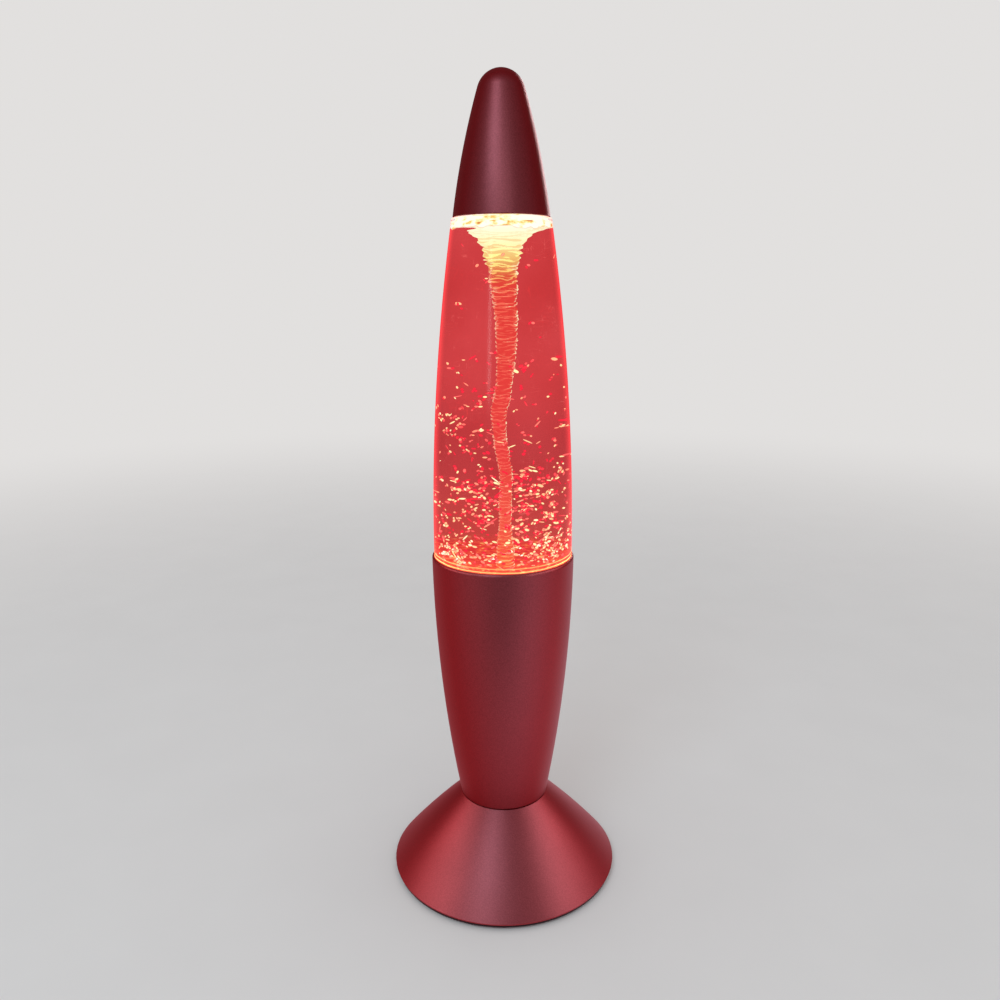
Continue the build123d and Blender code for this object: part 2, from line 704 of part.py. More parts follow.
def bottle():
    shoulder = BOTTLE_TOP - 0.9
    under = BOTTLE_TOP - BOTTLE_WALL
    floor_r = bottle_inner_r(BOTTLE_FLOOR)
    vessel = turned(
        (0, BOTTLE_BOTTOM),
        (bottle_foot_r(BOTTLE_BOTTOM) - 0.6, BOTTLE_BOTTOM),
        (bottle_foot_r(BOTTLE_BOTTOM + 0.6), BOTTLE_BOTTOM + 0.6),
        along(bottle_foot_r, BOTTLE_BOTTOM + 0.6, BOTTLE_STEP),
        (bottle_r(BOTTLE_STEP), BOTTLE_STEP),
        along(bottle_r, BOTTLE_STEP, shoulder),
        ((bottle_r(shoulder) - 0.2, shoulder + 0.62), (bottle_r(shoulder) - 0.9, BOTTLE_TOP)),
        (NECK_R, BOTTLE_TOP),
        (NECK_R, NECK_TOP),
        (NECK_BORE_R, NECK_TOP),
        (NECK_BORE_R, under),
        (bottle_inner_r(under) - 1.2, under),
        ((bottle_inner_r(under) - 0.25, under - 0.35), (bottle_inner_r(under - 1.2), under - 1.2)),
        along(bottle_inner_r, under - 1.2, BOTTLE_BELLY_Z),
        along(bottle_inner_r, BOTTLE_BELLY_Z, BOTTLE_FLOOR + 2),
        ((floor_r - 0.5, BOTTLE_FLOOR + 0.5), (floor_r - 2, BOTTLE_FLOOR)),
        (3.0, BOTTLE_FLOOR),
        (3.0, BOTTLE_FLOOR + 1.0),
        (PIN_R + SNUG, BOTTLE_FLOOR + 1.0),
        (PIN_R + SNUG, BOTTLE_BOTTOM + 1.0),
        (0, BOTTLE_BOTTOM + 1.0),
    )
    for x, y in ring_points(BOSS_RING_R, BOSS_ANGLES):
        vessel = vessel + rod(BOSS_R, CHASSIS_TOP + 0.05, BOTTLE_BOTTOM + 0.5, x, y)
        vessel = vessel - rod(SCREW_R + THREAD_GAP, CHASSIS_TOP, BOTTLE_BOTTOM - 2, x, y)
    return vessel


def bottle_screws():
    return screws_up(ring_points(BOSS_RING_R, BOSS_ANGLES), CHASSIS_BOTTOM, 9.0)


def stopper():
    plug_r = NECK_BORE_R - 0.12
    return turned(
        (0, NECK_TOP - 9),
        (plug_r - 0.6, NECK_TOP - 9),
        (plug_r, NECK_TOP - 8.4),
        (plug_r, SEAL_Z - 1.05),
        (SEAL_GROOVE_R, SEAL_Z - 1.05),
        (SEAL_GROOVE_R, SEAL_Z + 1.05),
        (plug_r, SEAL_Z + 1.05),
        (plug_r, NECK_TOP + 0.05),
        (STOPPER_FLANGE_R, NECK_TOP + 0.05),
        (STOPPER_FLANGE_R, STOPPER_FLANGE_TOP - 0.5),
        (STOPPER_FLANGE_R - 0.5, STOPPER_FLANGE_TOP),
        (0, STOPPER_FLANGE_TOP),
    )


def stopper_seal():
    """O-ring, filling the stopper's groove out to the neck's bore."""
    section_r = (NECK_BORE_R - SEAL_GROOVE_R) / 2 - 0.03
    return Pos(0, 0, SEAL_Z) * Torus((NECK_BORE_R + SEAL_GROOVE_R) / 2, section_r)


def water():
    """Water with its vortex: a funnel of air from the surface down to the impeller.

    The cylinder that the impeller sweeps is left out, so that both can turn.
    """
    def wall(z):
        return bottle_inner_r(z) - WATER_GAP

    bottom = BOTTLE_FLOOR + WATER_GAP
    floor_edge = (wall(bottom) - 2, bottom)
    corner = (wall(bottom + 2), bottom + 2)
    funnel = [
        (wall(WATER_TOP), WATER_TOP),
        (11.0, WATER_TOP - 2.2),
        (6.6, WATER_TOP - 8),
        (4.8, WATER_TOP - 22),
        (3.6, WATER_TOP - 50),
        (2.8, WATER_TOP - 90),
        (2.4, STIR_ROOM_TOP),
    ]
    outline = [
        Line((STIR_ROOM_R, bottom), floor_edge),
        ThreePointArc(floor_edge, (wall(bottom) - 0.5, bottom + 0.5), corner),
        ThreePointArc(corner, *along(wall, bottom + 2, BOTTLE_BELLY_Z)),
        ThreePointArc((wall(BOTTLE_BELLY_Z), BOTTLE_BELLY_Z), *along(wall, BOTTLE_BELLY_Z, WATER_TOP)),
        Spline(*funnel),
        Line(funnel[-1], (STIR_ROOM_R, STIR_ROOM_TOP)),
        Line((STIR_ROOM_R, STIR_ROOM_TOP), (STIR_ROOM_R, bottom)),
    ]
    return revolve(make_face(Plane.XZ * (Curve() + outline)), Axis.Z)


# ---------------------------------------------------------------- impeller

def impeller():
    """Disc with straight vanes on a hub, with pockets under it for its magnets."""
    top = IMPELLER_BOTTOM + IMPELLER_DISC_T
    body = fillet(rod(IMPELLER_R, IMPELLER_BOTTOM, top).edges(), 0.4)
    body = body + rod(3.2, IMPELLER_BOTTOM, VANE_TOP)
    for index in range(VANE_COUNT):
        vane = block((0, -VANE_T / 2, top - 0.5), (IMPELLER_R - 1.0, VANE_T / 2, VANE_TOP))
        tip = vane.edges().filter_by(Axis.Y).group_by(Axis.X)[-1].group_by(Axis.Z)[-1]
        body = body + Rot(0, 0, 45 + index * 360 / VANE_COUNT) * fillet(tip, 2.5)
    body = body - rod(PIN_R + RUNNING, IMPELLER_BOTTOM - 1, VANE_TOP + 1)
    pocket = rod(IMPELLER_MAGNET_R + SNUG, IMPELLER_BOTTOM, IMPELLER_BOTTOM + IMPELLER_MAGNET_H + SNUG)
    for x, y in magnet_points():
        body = body - Pos(x, y, 0) * pocket
    return body


def impeller_magnets():
    top = IMPELLER_BOTTOM + IMPELLER_MAGNET_H
    return [rod(IMPELLER_MAGNET_R, IMPELLER_BOTTOM, top, x, y) for x, y in magnet_points()]


def impeller_pin():
    pin = rod(PIN_R, BOTTLE_BOTTOM + 1.05, PIN_TOP)
    return chamfer(pin.edges().group_by(Axis.Z)[-1], 0.2)


def thrust_washer():
    return tube(2.6, PIN_R + SNUG, BOTTLE_FLOOR + 1.0, IMPELLER_BOTTOM - 0.05)


def impeller_retainer():
    """Push-on cap that keeps the impeller on its pin."""
    cap = rod(2.2, VANE_TOP + 0.3, PIN_TOP + 0.8)
    cap = fillet(cap.edges().group_by(Axis.Z)[-1], 0.8)
    return cap - rod(PIN_R + SNUG, VANE_TOP, PIN_TOP + 0.05)


# ---------------------------------------------------------------- cap

def dome_tangent():
    """Where the cap's flank meets its dome: (radius, height)."""
    lean = radians(16.5)
    centre = HEIGHT - CAP_DOME_R
    return CAP_DOME_R * cos(lean), centre + CAP_DOME_R * sin(lean)


def top_cap():
    meet_r, meet_z = dome_tangent()
    crown = radians(55)
    flank_mid = ((CAP_EDGE_R + meet_r) / 2 + 0.95, (CAP_EDGE + meet_z) / 2)
    dome_centre = HEIGHT - CAP_DOME_R
    dome_mid = (CAP_DOME_R * cos(crown), dome_centre + CAP_DOME_R * sin(crown))
    inner_dome = CAP_DOME_R - CAP_WALL
    inner_mid = (inner_dome * cos(crown), dome_centre + inner_dome * sin(crown))
    inner_meet = (meet_r - CAP_WALL * 0.97, meet_z - CAP_WALL * 0.28)
    rounding = 0.35
    shell = turned(
        (CAP_EDGE_R - rounding, CAP_EDGE),
        ((CAP_EDGE_R - 0.1, CAP_EDGE + 0.1), (CAP_EDGE_R - 0.05, CAP_EDGE + rounding)),
        (flank_mid, (meet_r, meet_z)),
        (dome_mid, (0, HEIGHT)),
        (0, HEIGHT - CAP_WALL),
        (inner_mid, inner_meet),
        ((flank_mid[0] - CAP_WALL, flank_mid[1]), (CAP_EDGE_R - CAP_WALL, CAP_EDGE)),
    )
    grip = tube(NECK_R + 1.2, NECK_R + 0.12, CAP_EDGE + 1.4, NECK_TOP - 1.5)
    web = tube(CAP_EDGE_R - 1.0, NECK_R + 0.12, CAP_EDGE + 1.4, CAP_EDGE + 3.4)
    return shell + grip + web


# ---------------------------------------------------------------- wiring

def lead(*points):
    """Insulated wire through the given points."""
    path = Spline(*points)
    end = Plane(origin=path @ 0, z_dir=path % 0)
    return sweep(end * Circle(WIRE_R), path=path)


def switch_blade_end(x, reach):
    """Point on the line of a switch terminal, some way past its tip."""
    point = SWITCH_PLANE.from_local_coords((x, 0, -SWITCH_BODY[2] - BLADE_OUT - 0.1 - reach))
    return point.X, point.Y, point.Z


def motor_blade_end(side):
    return 0, side * TERMINAL_Y, MOTOR_BOTTOM - TERMINAL_DROP - 0.1


def light_lead(side):
    """From a motor terminal, under the motor and up through the chassis to the light board."""
    gate_x, gate_y = wire_gate(side)
    return lead(
        (side * 2.1, side * TERMINAL_Y, MOTOR_BOTTOM - 2.2),
        (side * 8, side * 4, MOTOR_BOTTOM - 5),
        (side * 17, 0, MOTOR_BOTTOM - 1),
        (gate_x, gate_y, CHASSIS_BOTTOM - 5),
        (gate_x, gate_y, CHASSIS_TOP + 1),
        (side * 18.8, 0, BOARD_TOP + 1.2),
        (side * 16.2, 0, BOARD_TOP + 0.75),
    )


def red_wires():
    """Battery plus to the switch, switch to the motor, and motor to the light board."""
    battery = lead(
        (CONTACT_X + CONTACT_T + 0.4, -CELL_PITCH, 13.4),
        (31.4, -12, 14.2),
        (30, 4, 17),
        (17, 22, 17),
        (7, 25.5, 10.4),
        switch_blade_end(3.0, 1.6),
        switch_blade_end(3.0, 0),
    )
    feed = lead(
        switch_blade_end(-3.0, 0),
        switch_blade_end(-3.0, 1.6),
        (-8.5, 25.2, 10.4),
        (-10, 22, 19),
        (-6, 9, 29),
        (-5, 5, 40),
        (-3, 7, 58),
        motor_blade_end(1),
    )
    return [battery, feed, light_lead(1)]


def black_wires():
    """Battery minus to the motor, and motor to the light board."""
    feed = lead(
        (-CONTACT_X - CONTACT_T - 0.4, CELL_PITCH, 13.4),
        (-31.4, 12, 14.2),
        (-29, 5, 18),
        (-20, 2, 21),
        (-6, -3, 29),
        (2, -5, 40),
        (2, -7, 58),
        motor_blade_end(-1),
    )
    return [feed, light_lead(-1)]


# ---------------------------------------------------------------- export

NODES = (
    foot_shell,
    base_plate,
    rubber_feet,
    base_screws,
    battery_door,
    aa_cells,
    battery_springs,
    battery_contacts,
    switch_housing,
    switch_rocker,
    switch_terminals,
    casing,
    casing_screws,
    collar_seal,
    chassis,
    motor_can,
    motor_end_cap,
    motor_bushes,
    motor_terminals,
    motor_brushes,
    motor_magnet_ring,
    motor_shaft,
    motor_commutator,
    motor_armature,
    motor_screws,
    magnet_carrier,
    drive_magnets,
    led_board,
    leds,
    board_components,
    board_screws,
    bottle,
    bottle_screws,
    stopper,
    stopper_seal,
    water,
    impeller,
    impeller_magnets,
    impeller_pin,
    thrust_washer,
    impeller_retainer,
    top_cap,
    red_wires,
    black_wires,
)


def main():
    os.makedirs("parts", exist_ok=True)
    for make in NODES:
        shape = make()
        if isinstance(shape, list):
            shape = Compound(children=shape)
        export_step(shape, f"parts/{make.__name__}.step")


main()
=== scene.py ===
"""Looks of the tornado lamp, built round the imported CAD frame.

It makes the materials, the bottle, the water with its vortex, the bubbles and a small studio. The lamp's own
lengths are in millimetres and turned into metres with MM. Lights and camera are placed in metres.
"""

import json
import math
import random

import bpy
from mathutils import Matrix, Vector, noise


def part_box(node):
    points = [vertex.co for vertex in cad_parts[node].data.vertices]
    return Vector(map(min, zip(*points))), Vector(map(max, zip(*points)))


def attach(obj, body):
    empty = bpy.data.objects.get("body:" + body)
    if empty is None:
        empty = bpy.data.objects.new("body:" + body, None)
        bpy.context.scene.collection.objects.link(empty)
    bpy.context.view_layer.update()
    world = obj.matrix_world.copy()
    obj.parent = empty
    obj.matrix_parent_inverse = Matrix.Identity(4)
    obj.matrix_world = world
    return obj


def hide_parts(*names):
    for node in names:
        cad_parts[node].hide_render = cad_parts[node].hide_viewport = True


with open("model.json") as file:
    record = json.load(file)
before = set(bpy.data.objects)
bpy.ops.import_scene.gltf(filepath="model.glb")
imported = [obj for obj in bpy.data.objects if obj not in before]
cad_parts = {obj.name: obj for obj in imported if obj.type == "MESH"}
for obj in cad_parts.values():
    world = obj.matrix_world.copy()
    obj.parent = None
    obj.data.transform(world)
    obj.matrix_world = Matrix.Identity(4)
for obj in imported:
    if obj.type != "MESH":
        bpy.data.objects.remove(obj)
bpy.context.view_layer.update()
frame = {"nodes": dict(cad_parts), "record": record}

MM = 0.001
TURN = 2 * math.pi

# ---------------------------------------------------------------- sizes shared with the CAD

BELLY_R = 28.6
BELLY_Z = 150.0
BOTTLE_ARC_R = 858.0
BOTTLE_WALL = 2.0
BOTTLE_BOTTOM = 96.8
BOTTLE_FLOOR_T = 2.2
BOTTLE_FLOOR = BOTTLE_BOTTOM + BOTTLE_FLOOR_T
BOTTLE_GAP = 0.3
STEP_Z = 138.05
NECK_R = 14.0
NECK_BORE_R = 11.8
NECK_TALL = 10.6
CASING_BELLY_R = 29.5
CASING_ARC_R = 620.0
CASING_WALL = 1.8
STIR_ROOM_R = 14.0
STIR_ROOM_TOP = 113.2

NECK_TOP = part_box("bottle")[1].z / MM
SHOULDER_Z = NECK_TOP - NECK_TALL
COLLAR_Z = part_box("casing")[1].z / MM
WATER_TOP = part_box("water")[1].z / MM

# ---------------------------------------------------------------- sizes of the looks only

INNER_TAPER = 1.4  # the inside narrows by this much in a straight line from the belly to the floor
INNER_CURVE = 1.8  # and by this much more in a curve
WATER_LAP = 0.05  # the water reaches this far into the bottle's wall, so that no air film shows between them


def bottle_r(z):
    """Outside of the bottle above the casing's step."""
    return BELLY_R - (z - BELLY_Z) ** 2 / (2 * BOTTLE_ARC_R)


def bottle_foot_r(z):
    """Outside of the bottle where it stands inside the casing."""
    return CASING_BELLY_R - (BELLY_Z - z) ** 2 / (2 * CASING_ARC_R) - CASING_WALL - BOTTLE_GAP


def bottle_inner_r(z):
    """Inside of the bottle's wall."""
    if z >= BELLY_Z:
        return bottle_r(z) - BOTTLE_WALL
    drop = (BELLY_Z - z) / (BELLY_Z - BOTTLE_FLOOR)
    return BELLY_R - BOTTLE_WALL - INNER_TAPER * drop - INNER_CURVE * drop**2


# ---------------------------------------------------------------- shader helpers

def add(tree, kind, inputs, **settings):
    """Adds a node; an input is a value, or another node's output to link."""
    made = tree.nodes.new(kind)
    for name, value in settings.items():
        setattr(made, name, value)
    for name, value in inputs.items():
        if isinstance(value, bpy.types.NodeSocket):
            tree.links.new(value, made.inputs[name])
        else:
            made.inputs[name].default_value = value
    return made


def maths(tree, operation, a, b=0.0, clamp=False):
    made = add(tree, "ShaderNodeMath", {0: a, 1: b}, operation=operation, use_clamp=clamp)
    return made.outputs[0]


def plus(tree, a, b, clamp=False):
    return maths(tree, "ADD", a, b, clamp)


def minus(tree, a, b, clamp=False):
    return maths(tree, "SUBTRACT", a, b, clamp)


def times(tree, a, b):
    return maths(tree, "MULTIPLY", a, b)


def colour(red, green, blue):
    """Linear colour from display values of 0 to 255."""
    def linear(value):
        share = value / 255
        return share / 12.92 if share <= 0.04045 else ((share + 0.055) / 1.055) ** 2.4

    return linear(red), linear(green), linear(blue), 1.0


def ramp(tree, factor, *stops):
    """Colour ramp through (share, colour) stops."""
    made = add(tree, "ShaderNodeValToRGB", {0: factor})
    elements = made.color_ramp.elements
    while len(elements) < len(stops):
        elements.new(0.5)
    for element, (share, tint) in zip(elements, stops):
        element.position = share
        element.color = tint
    return made.outputs[0]


def smooth(tree, value, low, high):
    """0 up to low, 1 from high on, and smooth between; low may be the greater of the two."""
    made = add(
        tree,
        "ShaderNodeMapRange",
        {"Value": value, "From Min": low, "From Max": high},
        interpolation_type="SMOOTHSTEP",
    )
    return made.outputs[0]


def mixed(tree, factor, a, b, blend="MIX"):
    made = add(tree, "ShaderNodeMix", {0: factor, 6: a, 7: b}, data_type="RGBA", blend_type=blend)
    return made.outputs[2]


def place(tree, scale=(1.0, 1.0, 1.0)):
    """Object coordinates in millimetres, times a scale."""
    where = add(tree, "ShaderNodeTexCoord", {}).outputs["Object"]
    size = tuple(value / MM for value in scale)
    return add(tree, "ShaderNodeVectorMath", {0: where, 1: size}, operation="MULTIPLY").outputs[0]


def length_of(tree, a, b):
    return maths(tree, "SQRT", plus(tree, times(tree, a, a), times(tree, b, b)))


def position(tree):
    """X, y and height above the table, in millimetres."""
    return add(tree, "ShaderNodeSeparateXYZ", {0: place(tree)}).outputs


def height(tree):
    return position(tree)["Z"]


def geometry(tree, name):
    return add(tree, "ShaderNodeNewGeometry", {}).outputs[name]


def turned_away(tree, blend=0.5):
    """0 where the surface faces the eye, 1 where it is seen edge-on."""
    return add(tree, "ShaderNodeLayerWeight", {"Blend": blend}).outputs["Facing"]


def lit_by_itself(tree, tint, strength):
    return add(tree, "ShaderNodeEmission", {"Color": tint, "Strength": strength}).outputs[0]


def shared(tree, share, one, other):
    """Mix of two shaders."""
    return add(tree, "ShaderNodeMixShader", {0: share, 1: one, 2: other}).outputs[0]


def cloud(tree, scale, detail=3.0, stretch=(1.0, 1.0, 1.0)):
    """Noise of 0 to 1, with about `scale` features per millimetre."""
    where = place(tree, stretch)
    made = add(tree, "ShaderNodeTexNoise", {"Vector": where, "Scale": scale, "Detail": detail})
    return made.outputs["Fac"]


def new_material(name):
    material = bpy.data.materials.new(name)
    material.use_nodes = True
    tree = material.node_tree
    tree.nodes.clear()
    output = tree.nodes.new("ShaderNodeOutputMaterial")
    return material, tree, output


def solid_material(name, base, roughness, metallic=0.0, grain=0.6, speckle=0.06, depth=0.01):
    """Opaque material with fine grain in its colour, roughness and relief."""
    material, tree, output = new_material(name)
    fine = cloud(tree, grain, 4.0)
    broad = cloud(tree, grain / 12, 2.0)
    shade = plus(tree, fine, broad)
    low = tuple(value * (1 - speckle) for value in base[:3]) + (1.0,)
    high = tuple(min(1.0, value * (1 + speckle)) for value in base[:3]) + (1.0,)
    tint = ramp(tree, times(tree, shade, 0.5), (0.3, low), (0.7, high))
    rough = plus(tree, times(tree, fine, 0.16), roughness - 0.08, clamp=True)
    relief = add(tree, "ShaderNodeBump", {"Height": fine, "Strength": 0.35, "Distance": depth * MM})
    inputs = {"Base Color": tint, "Roughness": rough, "Metallic": metallic, "Normal": relief.outputs[0]}
    shader = add(tree, "ShaderNodeBsdfPrincipled", inputs)
    tree.links.new(shader.outputs[0], output.inputs[0])
    return material


# ---------------------------------------------------------------- materials

def lamp_plastic():
    """Satin metallic paint on moulded plastic: deep red at the flanks, greyer where it faces the eye, a
    painted sheen that stands in for the reflection of a cool light.
    """
    material, tree, output = new_material("satin_maroon")
    flake = cloud(tree, 2.2, 2.0)
    drift = cloud(tree, 0.05, 2.0)
    # painted sheen: the tint turns greyer where the surface faces the eye
    flank = smooth(tree, turned_away(tree), 0.02, 0.5)
    tint = mixed(tree, flank, colour(157, 80, 88), colour(155, 32, 40))
    sparkle = ramp(tree, flake, (0.3, (0.8, 0.8, 0.8, 1)), (0.7, (1.2, 1.2, 1.2, 1)))
    tint = mixed(tree, 0.75, tint, sparkle, "MULTIPLY")
    rough = plus(tree, times(tree, drift, 0.1), 0.38)
    relief = add(tree, "ShaderNodeBump", {"Height": flake, "Strength": 0.12, "Distance": 0.02 * MM})
    shader = add(
        tree,
        "ShaderNodeBsdfPrincipled",
        {
            "Base Color": tint,
            "Metallic": 0.85,
            "Roughness": rough,
            "Coat Weight": 0.25,
            "Coat Roughness": 0.4,
            "Normal": relief.outputs[0],
        },
    )
    tree.links.new(shader.outputs[0], output.inputs[0])
    return material


# The cells lie along x, the middle one the other way round.
HALF_CELL = 7.4
BAND_START = 15.0  # the copper band reaches from here to the plus end
MINUS_END = -21.7
PLUS_END = 26.3


def cell_jacket():
    """Battery sleeves: dark body, copper band at the plus end, bare steel at both ends."""
    material, tree, output = new_material("cell_jacket")
    x, y, _ = position(tree)
    middle_cell = maths(tree, "LESS_THAN", maths(tree, "ABSOLUTE", y), HALF_CELL)
    flip = minus(tree, 1.0, times(tree, middle_cell, 2.0))
    along = times(tree, x, flip)
    grain = cloud(tree, 1.5, 2.0)
    body = ramp(tree, grain, (0.3, colour(24, 40, 36)), (0.7, colour(30, 48, 42)))
    copper = ramp(tree, grain, (0.3, colour(176, 104, 62)), (0.7, colour(190, 118, 72)))
    tint = mixed(tree, maths(tree, "GREATER_THAN", along, BAND_START), body, copper)
    low_end = maths(tree, "LESS_THAN", along, MINUS_END)
    high_end = maths(tree, "GREATER_THAN", along, PLUS_END)
    bare = plus(tree, low_end, high_end, clamp=True)
    tint = mixed(tree, bare, tint, colour(190, 190, 186))
    shader = add(tree, "ShaderNodeBsdfPrincipled", {"Base Color": tint, "Metallic": bare, "Roughness": 0.28})
    tree.links.new(shader.outputs[0], output.inputs[0])
    return material


def glowing_lens():
    """Lit light-emitting diode: a bright heart in a tinted lens."""
    material, tree, output = new_material("lit_lens")
    tint = ramp(tree, turned_away(tree, 0.4), (0.0, (1.0, 0.75, 0.4, 1)), (0.5, (1.0, 0.2, 0.05, 1)))
    grain = plus(tree, times(tree, cloud(tree, 1.0), 1.2), 1.6)
    shader = add(
        tree,
        "ShaderNodeBsdfPrincipled",
        {"Base Color": tint, "Roughness": 0.15, "Emission Color": tint, "Emission Strength": grain},
    )
    tree.links.new(shader.outputs[0], output.inputs[0])
    return material


def band(tree, value, centre, half_width):
    """1 at centre, falling to 0 at half_width away."""
    away = maths(tree, "ABSOLUTE", minus(tree, value, centre))
    return smooth(tree, away, half_width, 0.0)


def light_added(tree, shader, tint, strength):
    """The shader with some light of its own on top."""
    glow = lit_by_itself(tree, tint, strength)
    return add(tree, "ShaderNodeAddShader", {0: shader, 1: glow}).outputs[0]


PLASTIC_IOR = 1.49
WATER_IOR = 1.333
HOT_GLOW = 1.1
BUBBLE_GLOW = 1.25


def clear_wall():
    """Outer skin of the bottle: clear plastic, with painted glow that stands in for the lamp's light carried
    to its edges and its collar, and faint scratches drawn as painted glints.
    """
    material, tree, output = new_material("clear_wall")
    waviness = cloud(tree, 0.06, 2.0, (1.0, 1.0, 0.25))
    bump = add(tree, "ShaderNodeBump", {"Height": waviness, "Strength": 0.2, "Distance": 0.2 * MM})
    relief = bump.outputs[0]
    through = add(tree, "ShaderNodeBsdfRefraction", {"IOR": PLASTIC_IOR, "Roughness": 0.0, "Normal": relief})
    gloss = add(tree, "ShaderNodeBsdfGlossy", {"Roughness": 0.13, "Normal": relief})
    outside = minus(tree, 1.0, geometry(tree, "Backfacing"))
    fresnel = add(tree, "ShaderNodeFresnel", {"IOR": PLASTIC_IOR}).outputs[0]
    mirror = times(tree, times(tree, fresnel, 0.5), outside)
    skin = shared(tree, mirror, through.outputs[0], gloss.outputs[0])

    facing = turned_away(tree)
    # painted glow along the silhouette, as if the wall carried the lamp's light to its edges
    edge = times(tree, smooth(tree, facing, 0.55, 0.95), outside)
    skin = light_added(tree, skin, colour(255, 60, 66), times(tree, edge, 0.8))

    # real faint scratches on the wall, drawn only as painted glints where they catch the light
    upright = band(tree, cloud(tree, 0.5, 1.0, (1.0, 1.0, 0.12)), 0.5, 0.006)
    level_scratch = band(tree, cloud(tree, 0.5, 1.0, (0.15, 0.15, 1.0)), 0.5, 0.006)
    worn_glint_patches = smooth(tree, cloud(tree, 0.09, 2.0), 0.5, 0.62)
    scuff_glints = times(tree, maths(tree, "MAXIMUM", upright, level_scratch), worn_glint_patches)
    skin = light_added(tree, skin, colour(255, 150, 140), times(tree, scuff_glints, 0.16))

    # two painted glow lines just above the collar, brighter towards the sides
    wobble = times(tree, minus(tree, cloud(tree, 0.12), 0.5), 0.8)
    level = plus(tree, height(tree), wobble)
    collar_glow_line = band(tree, level, COLLAR_Z + 0.5, 0.4)
    upper_glow_line = times(tree, band(tree, level, COLLAR_Z + 2.0, 0.35), 0.7)
    sideways = plus(tree, times(tree, smooth(tree, facing, 0.1, 0.7), 0.9), 0.9)
    glow_lines = times(tree, plus(tree, collar_glow_line, upper_glow_line), outside)
    skin = light_added(tree, skin, colour(255, 216, 124), times(tree, glow_lines, sideways))

    # painted orange glow on the wall below the collar
    collar_glow_veil = times(tree, smooth(tree, height(tree), COLLAR_Z + 8.0, COLLAR_Z - 1.0), outside)
    skin = light_added(tree, skin, colour(255, 100, 60), times(tree, collar_glow_veil, 0.3))
    tree.links.new(skin, output.inputs[0])
    return material


def clear_inside():
    """Inner skin of the bottle: painted glow under the shoulder and below the collar, standing in for the
    lamp's light, clear between.
    """
    material, tree, output = new_material("clear_inside")
    through = add(tree, "ShaderNodeBsdfRefraction", {"IOR": PLASTIC_IOR, "Roughness": 0.0})
    sideways, _, up = position(tree)
    to_the_side = smooth(tree, maths(tree, "ABSOLUTE", sideways), 4.0, 10.0)
    folds = cloud(tree, 0.24, 5.0, (1.0, 1.0, 1.8))
    patches = plus(tree, folds, times(tree, to_the_side, 0.09))
    white_glow = ramp(
        tree,
        patches,
        (0.38, colour(214, 120, 66)),
        (0.44, colour(250, 206, 112)),
        (0.50, colour(255, 250, 190)),
        (0.56, colour(255, 255, 238)),
    )
    red_glow = ramp(
        tree,
        cloud(tree, 0.5, 4.0, (1.0, 1.0, 2.5)),
        (0.44, colour(214, 52, 52)),
        (0.60, colour(238, 84, 58)),
        (0.70, colour(255, 190, 110)),
    )
    # painted light: the band under the shoulder and the cup below the collar glow as if lit by the lamp
    below_neck = maths(tree, "LESS_THAN", up, SHOULDER_Z + 0.5)
    lapping = times(tree, minus(tree, cloud(tree, 0.16, 2.0), 0.5), 4.0)
    waterline = plus(tree, up, lapping)
    shoulder = times(tree, smooth(tree, waterline, WATER_TOP - 1.8, WATER_TOP - 1.1), below_neck)
    cup = smooth(tree, up, COLLAR_Z + 5.0, COLLAR_Z - 1.0)
    tint = mixed(tree, shoulder, red_glow, white_glow)
    bright = lit_by_itself(tree, tint, HOT_GLOW)
    lit = plus(tree, shoulder, cup, clamp=True)
    tree.links.new(shared(tree, lit, through.outputs[0], bright), output.inputs[0])
    return material


DIM_BAND_Z = 185.0  # painted shade: the water's lit red is darkest at this height
DIM_BAND_HALF_HEIGHT = 35.0
LOW_GLOW_TOP = 185.0
LOW_GLOW_FULL = 140.0


def water_body():
    """Clear water with the lamp's red light painted in: what stands behind it is seen red, what floats in it
    keeps its own colour; painted shade darkens it at mid height and painted glow brightens it low down.
    """
    material, tree, output = new_material("lit_water")
    leaving = geometry(tree, "Backfacing")
    swirl = cloud(tree, 0.05, 3.0, (1.0, 1.0, 0.5))
    red = ramp(tree, swirl, (0.3, colour(229, 66, 69)), (0.7, colour(243, 82, 86)))
    up = height(tree)
    # painted shade: a darker band of the red at mid height
    dim_band = times(tree, band(tree, up, DIM_BAND_Z, DIM_BAND_HALF_HEIGHT), 0.15)
    red = mixed(tree, dim_band, red, colour(150, 36, 46))
    # painted glow: brighter red low down, near the light
    low_glow = times(tree, smooth(tree, up, LOW_GLOW_TOP, LOW_GLOW_FULL), 0.8)
    red = mixed(tree, low_glow, red, colour(255, 92, 84))
    tint = mixed(tree, leaving, (1.0, 1.0, 1.0, 1.0), red)
    body = add(tree, "ShaderNodeBsdfRefraction", {"Color": tint, "IOR": WATER_IOR, "Roughness": 0.0})
    tree.links.new(body.outputs[0], output.inputs[0])
    return material


VORTEX_GLOW_BOTTOM = 140.0
VORTEX_GLOW_TOP = 276.0


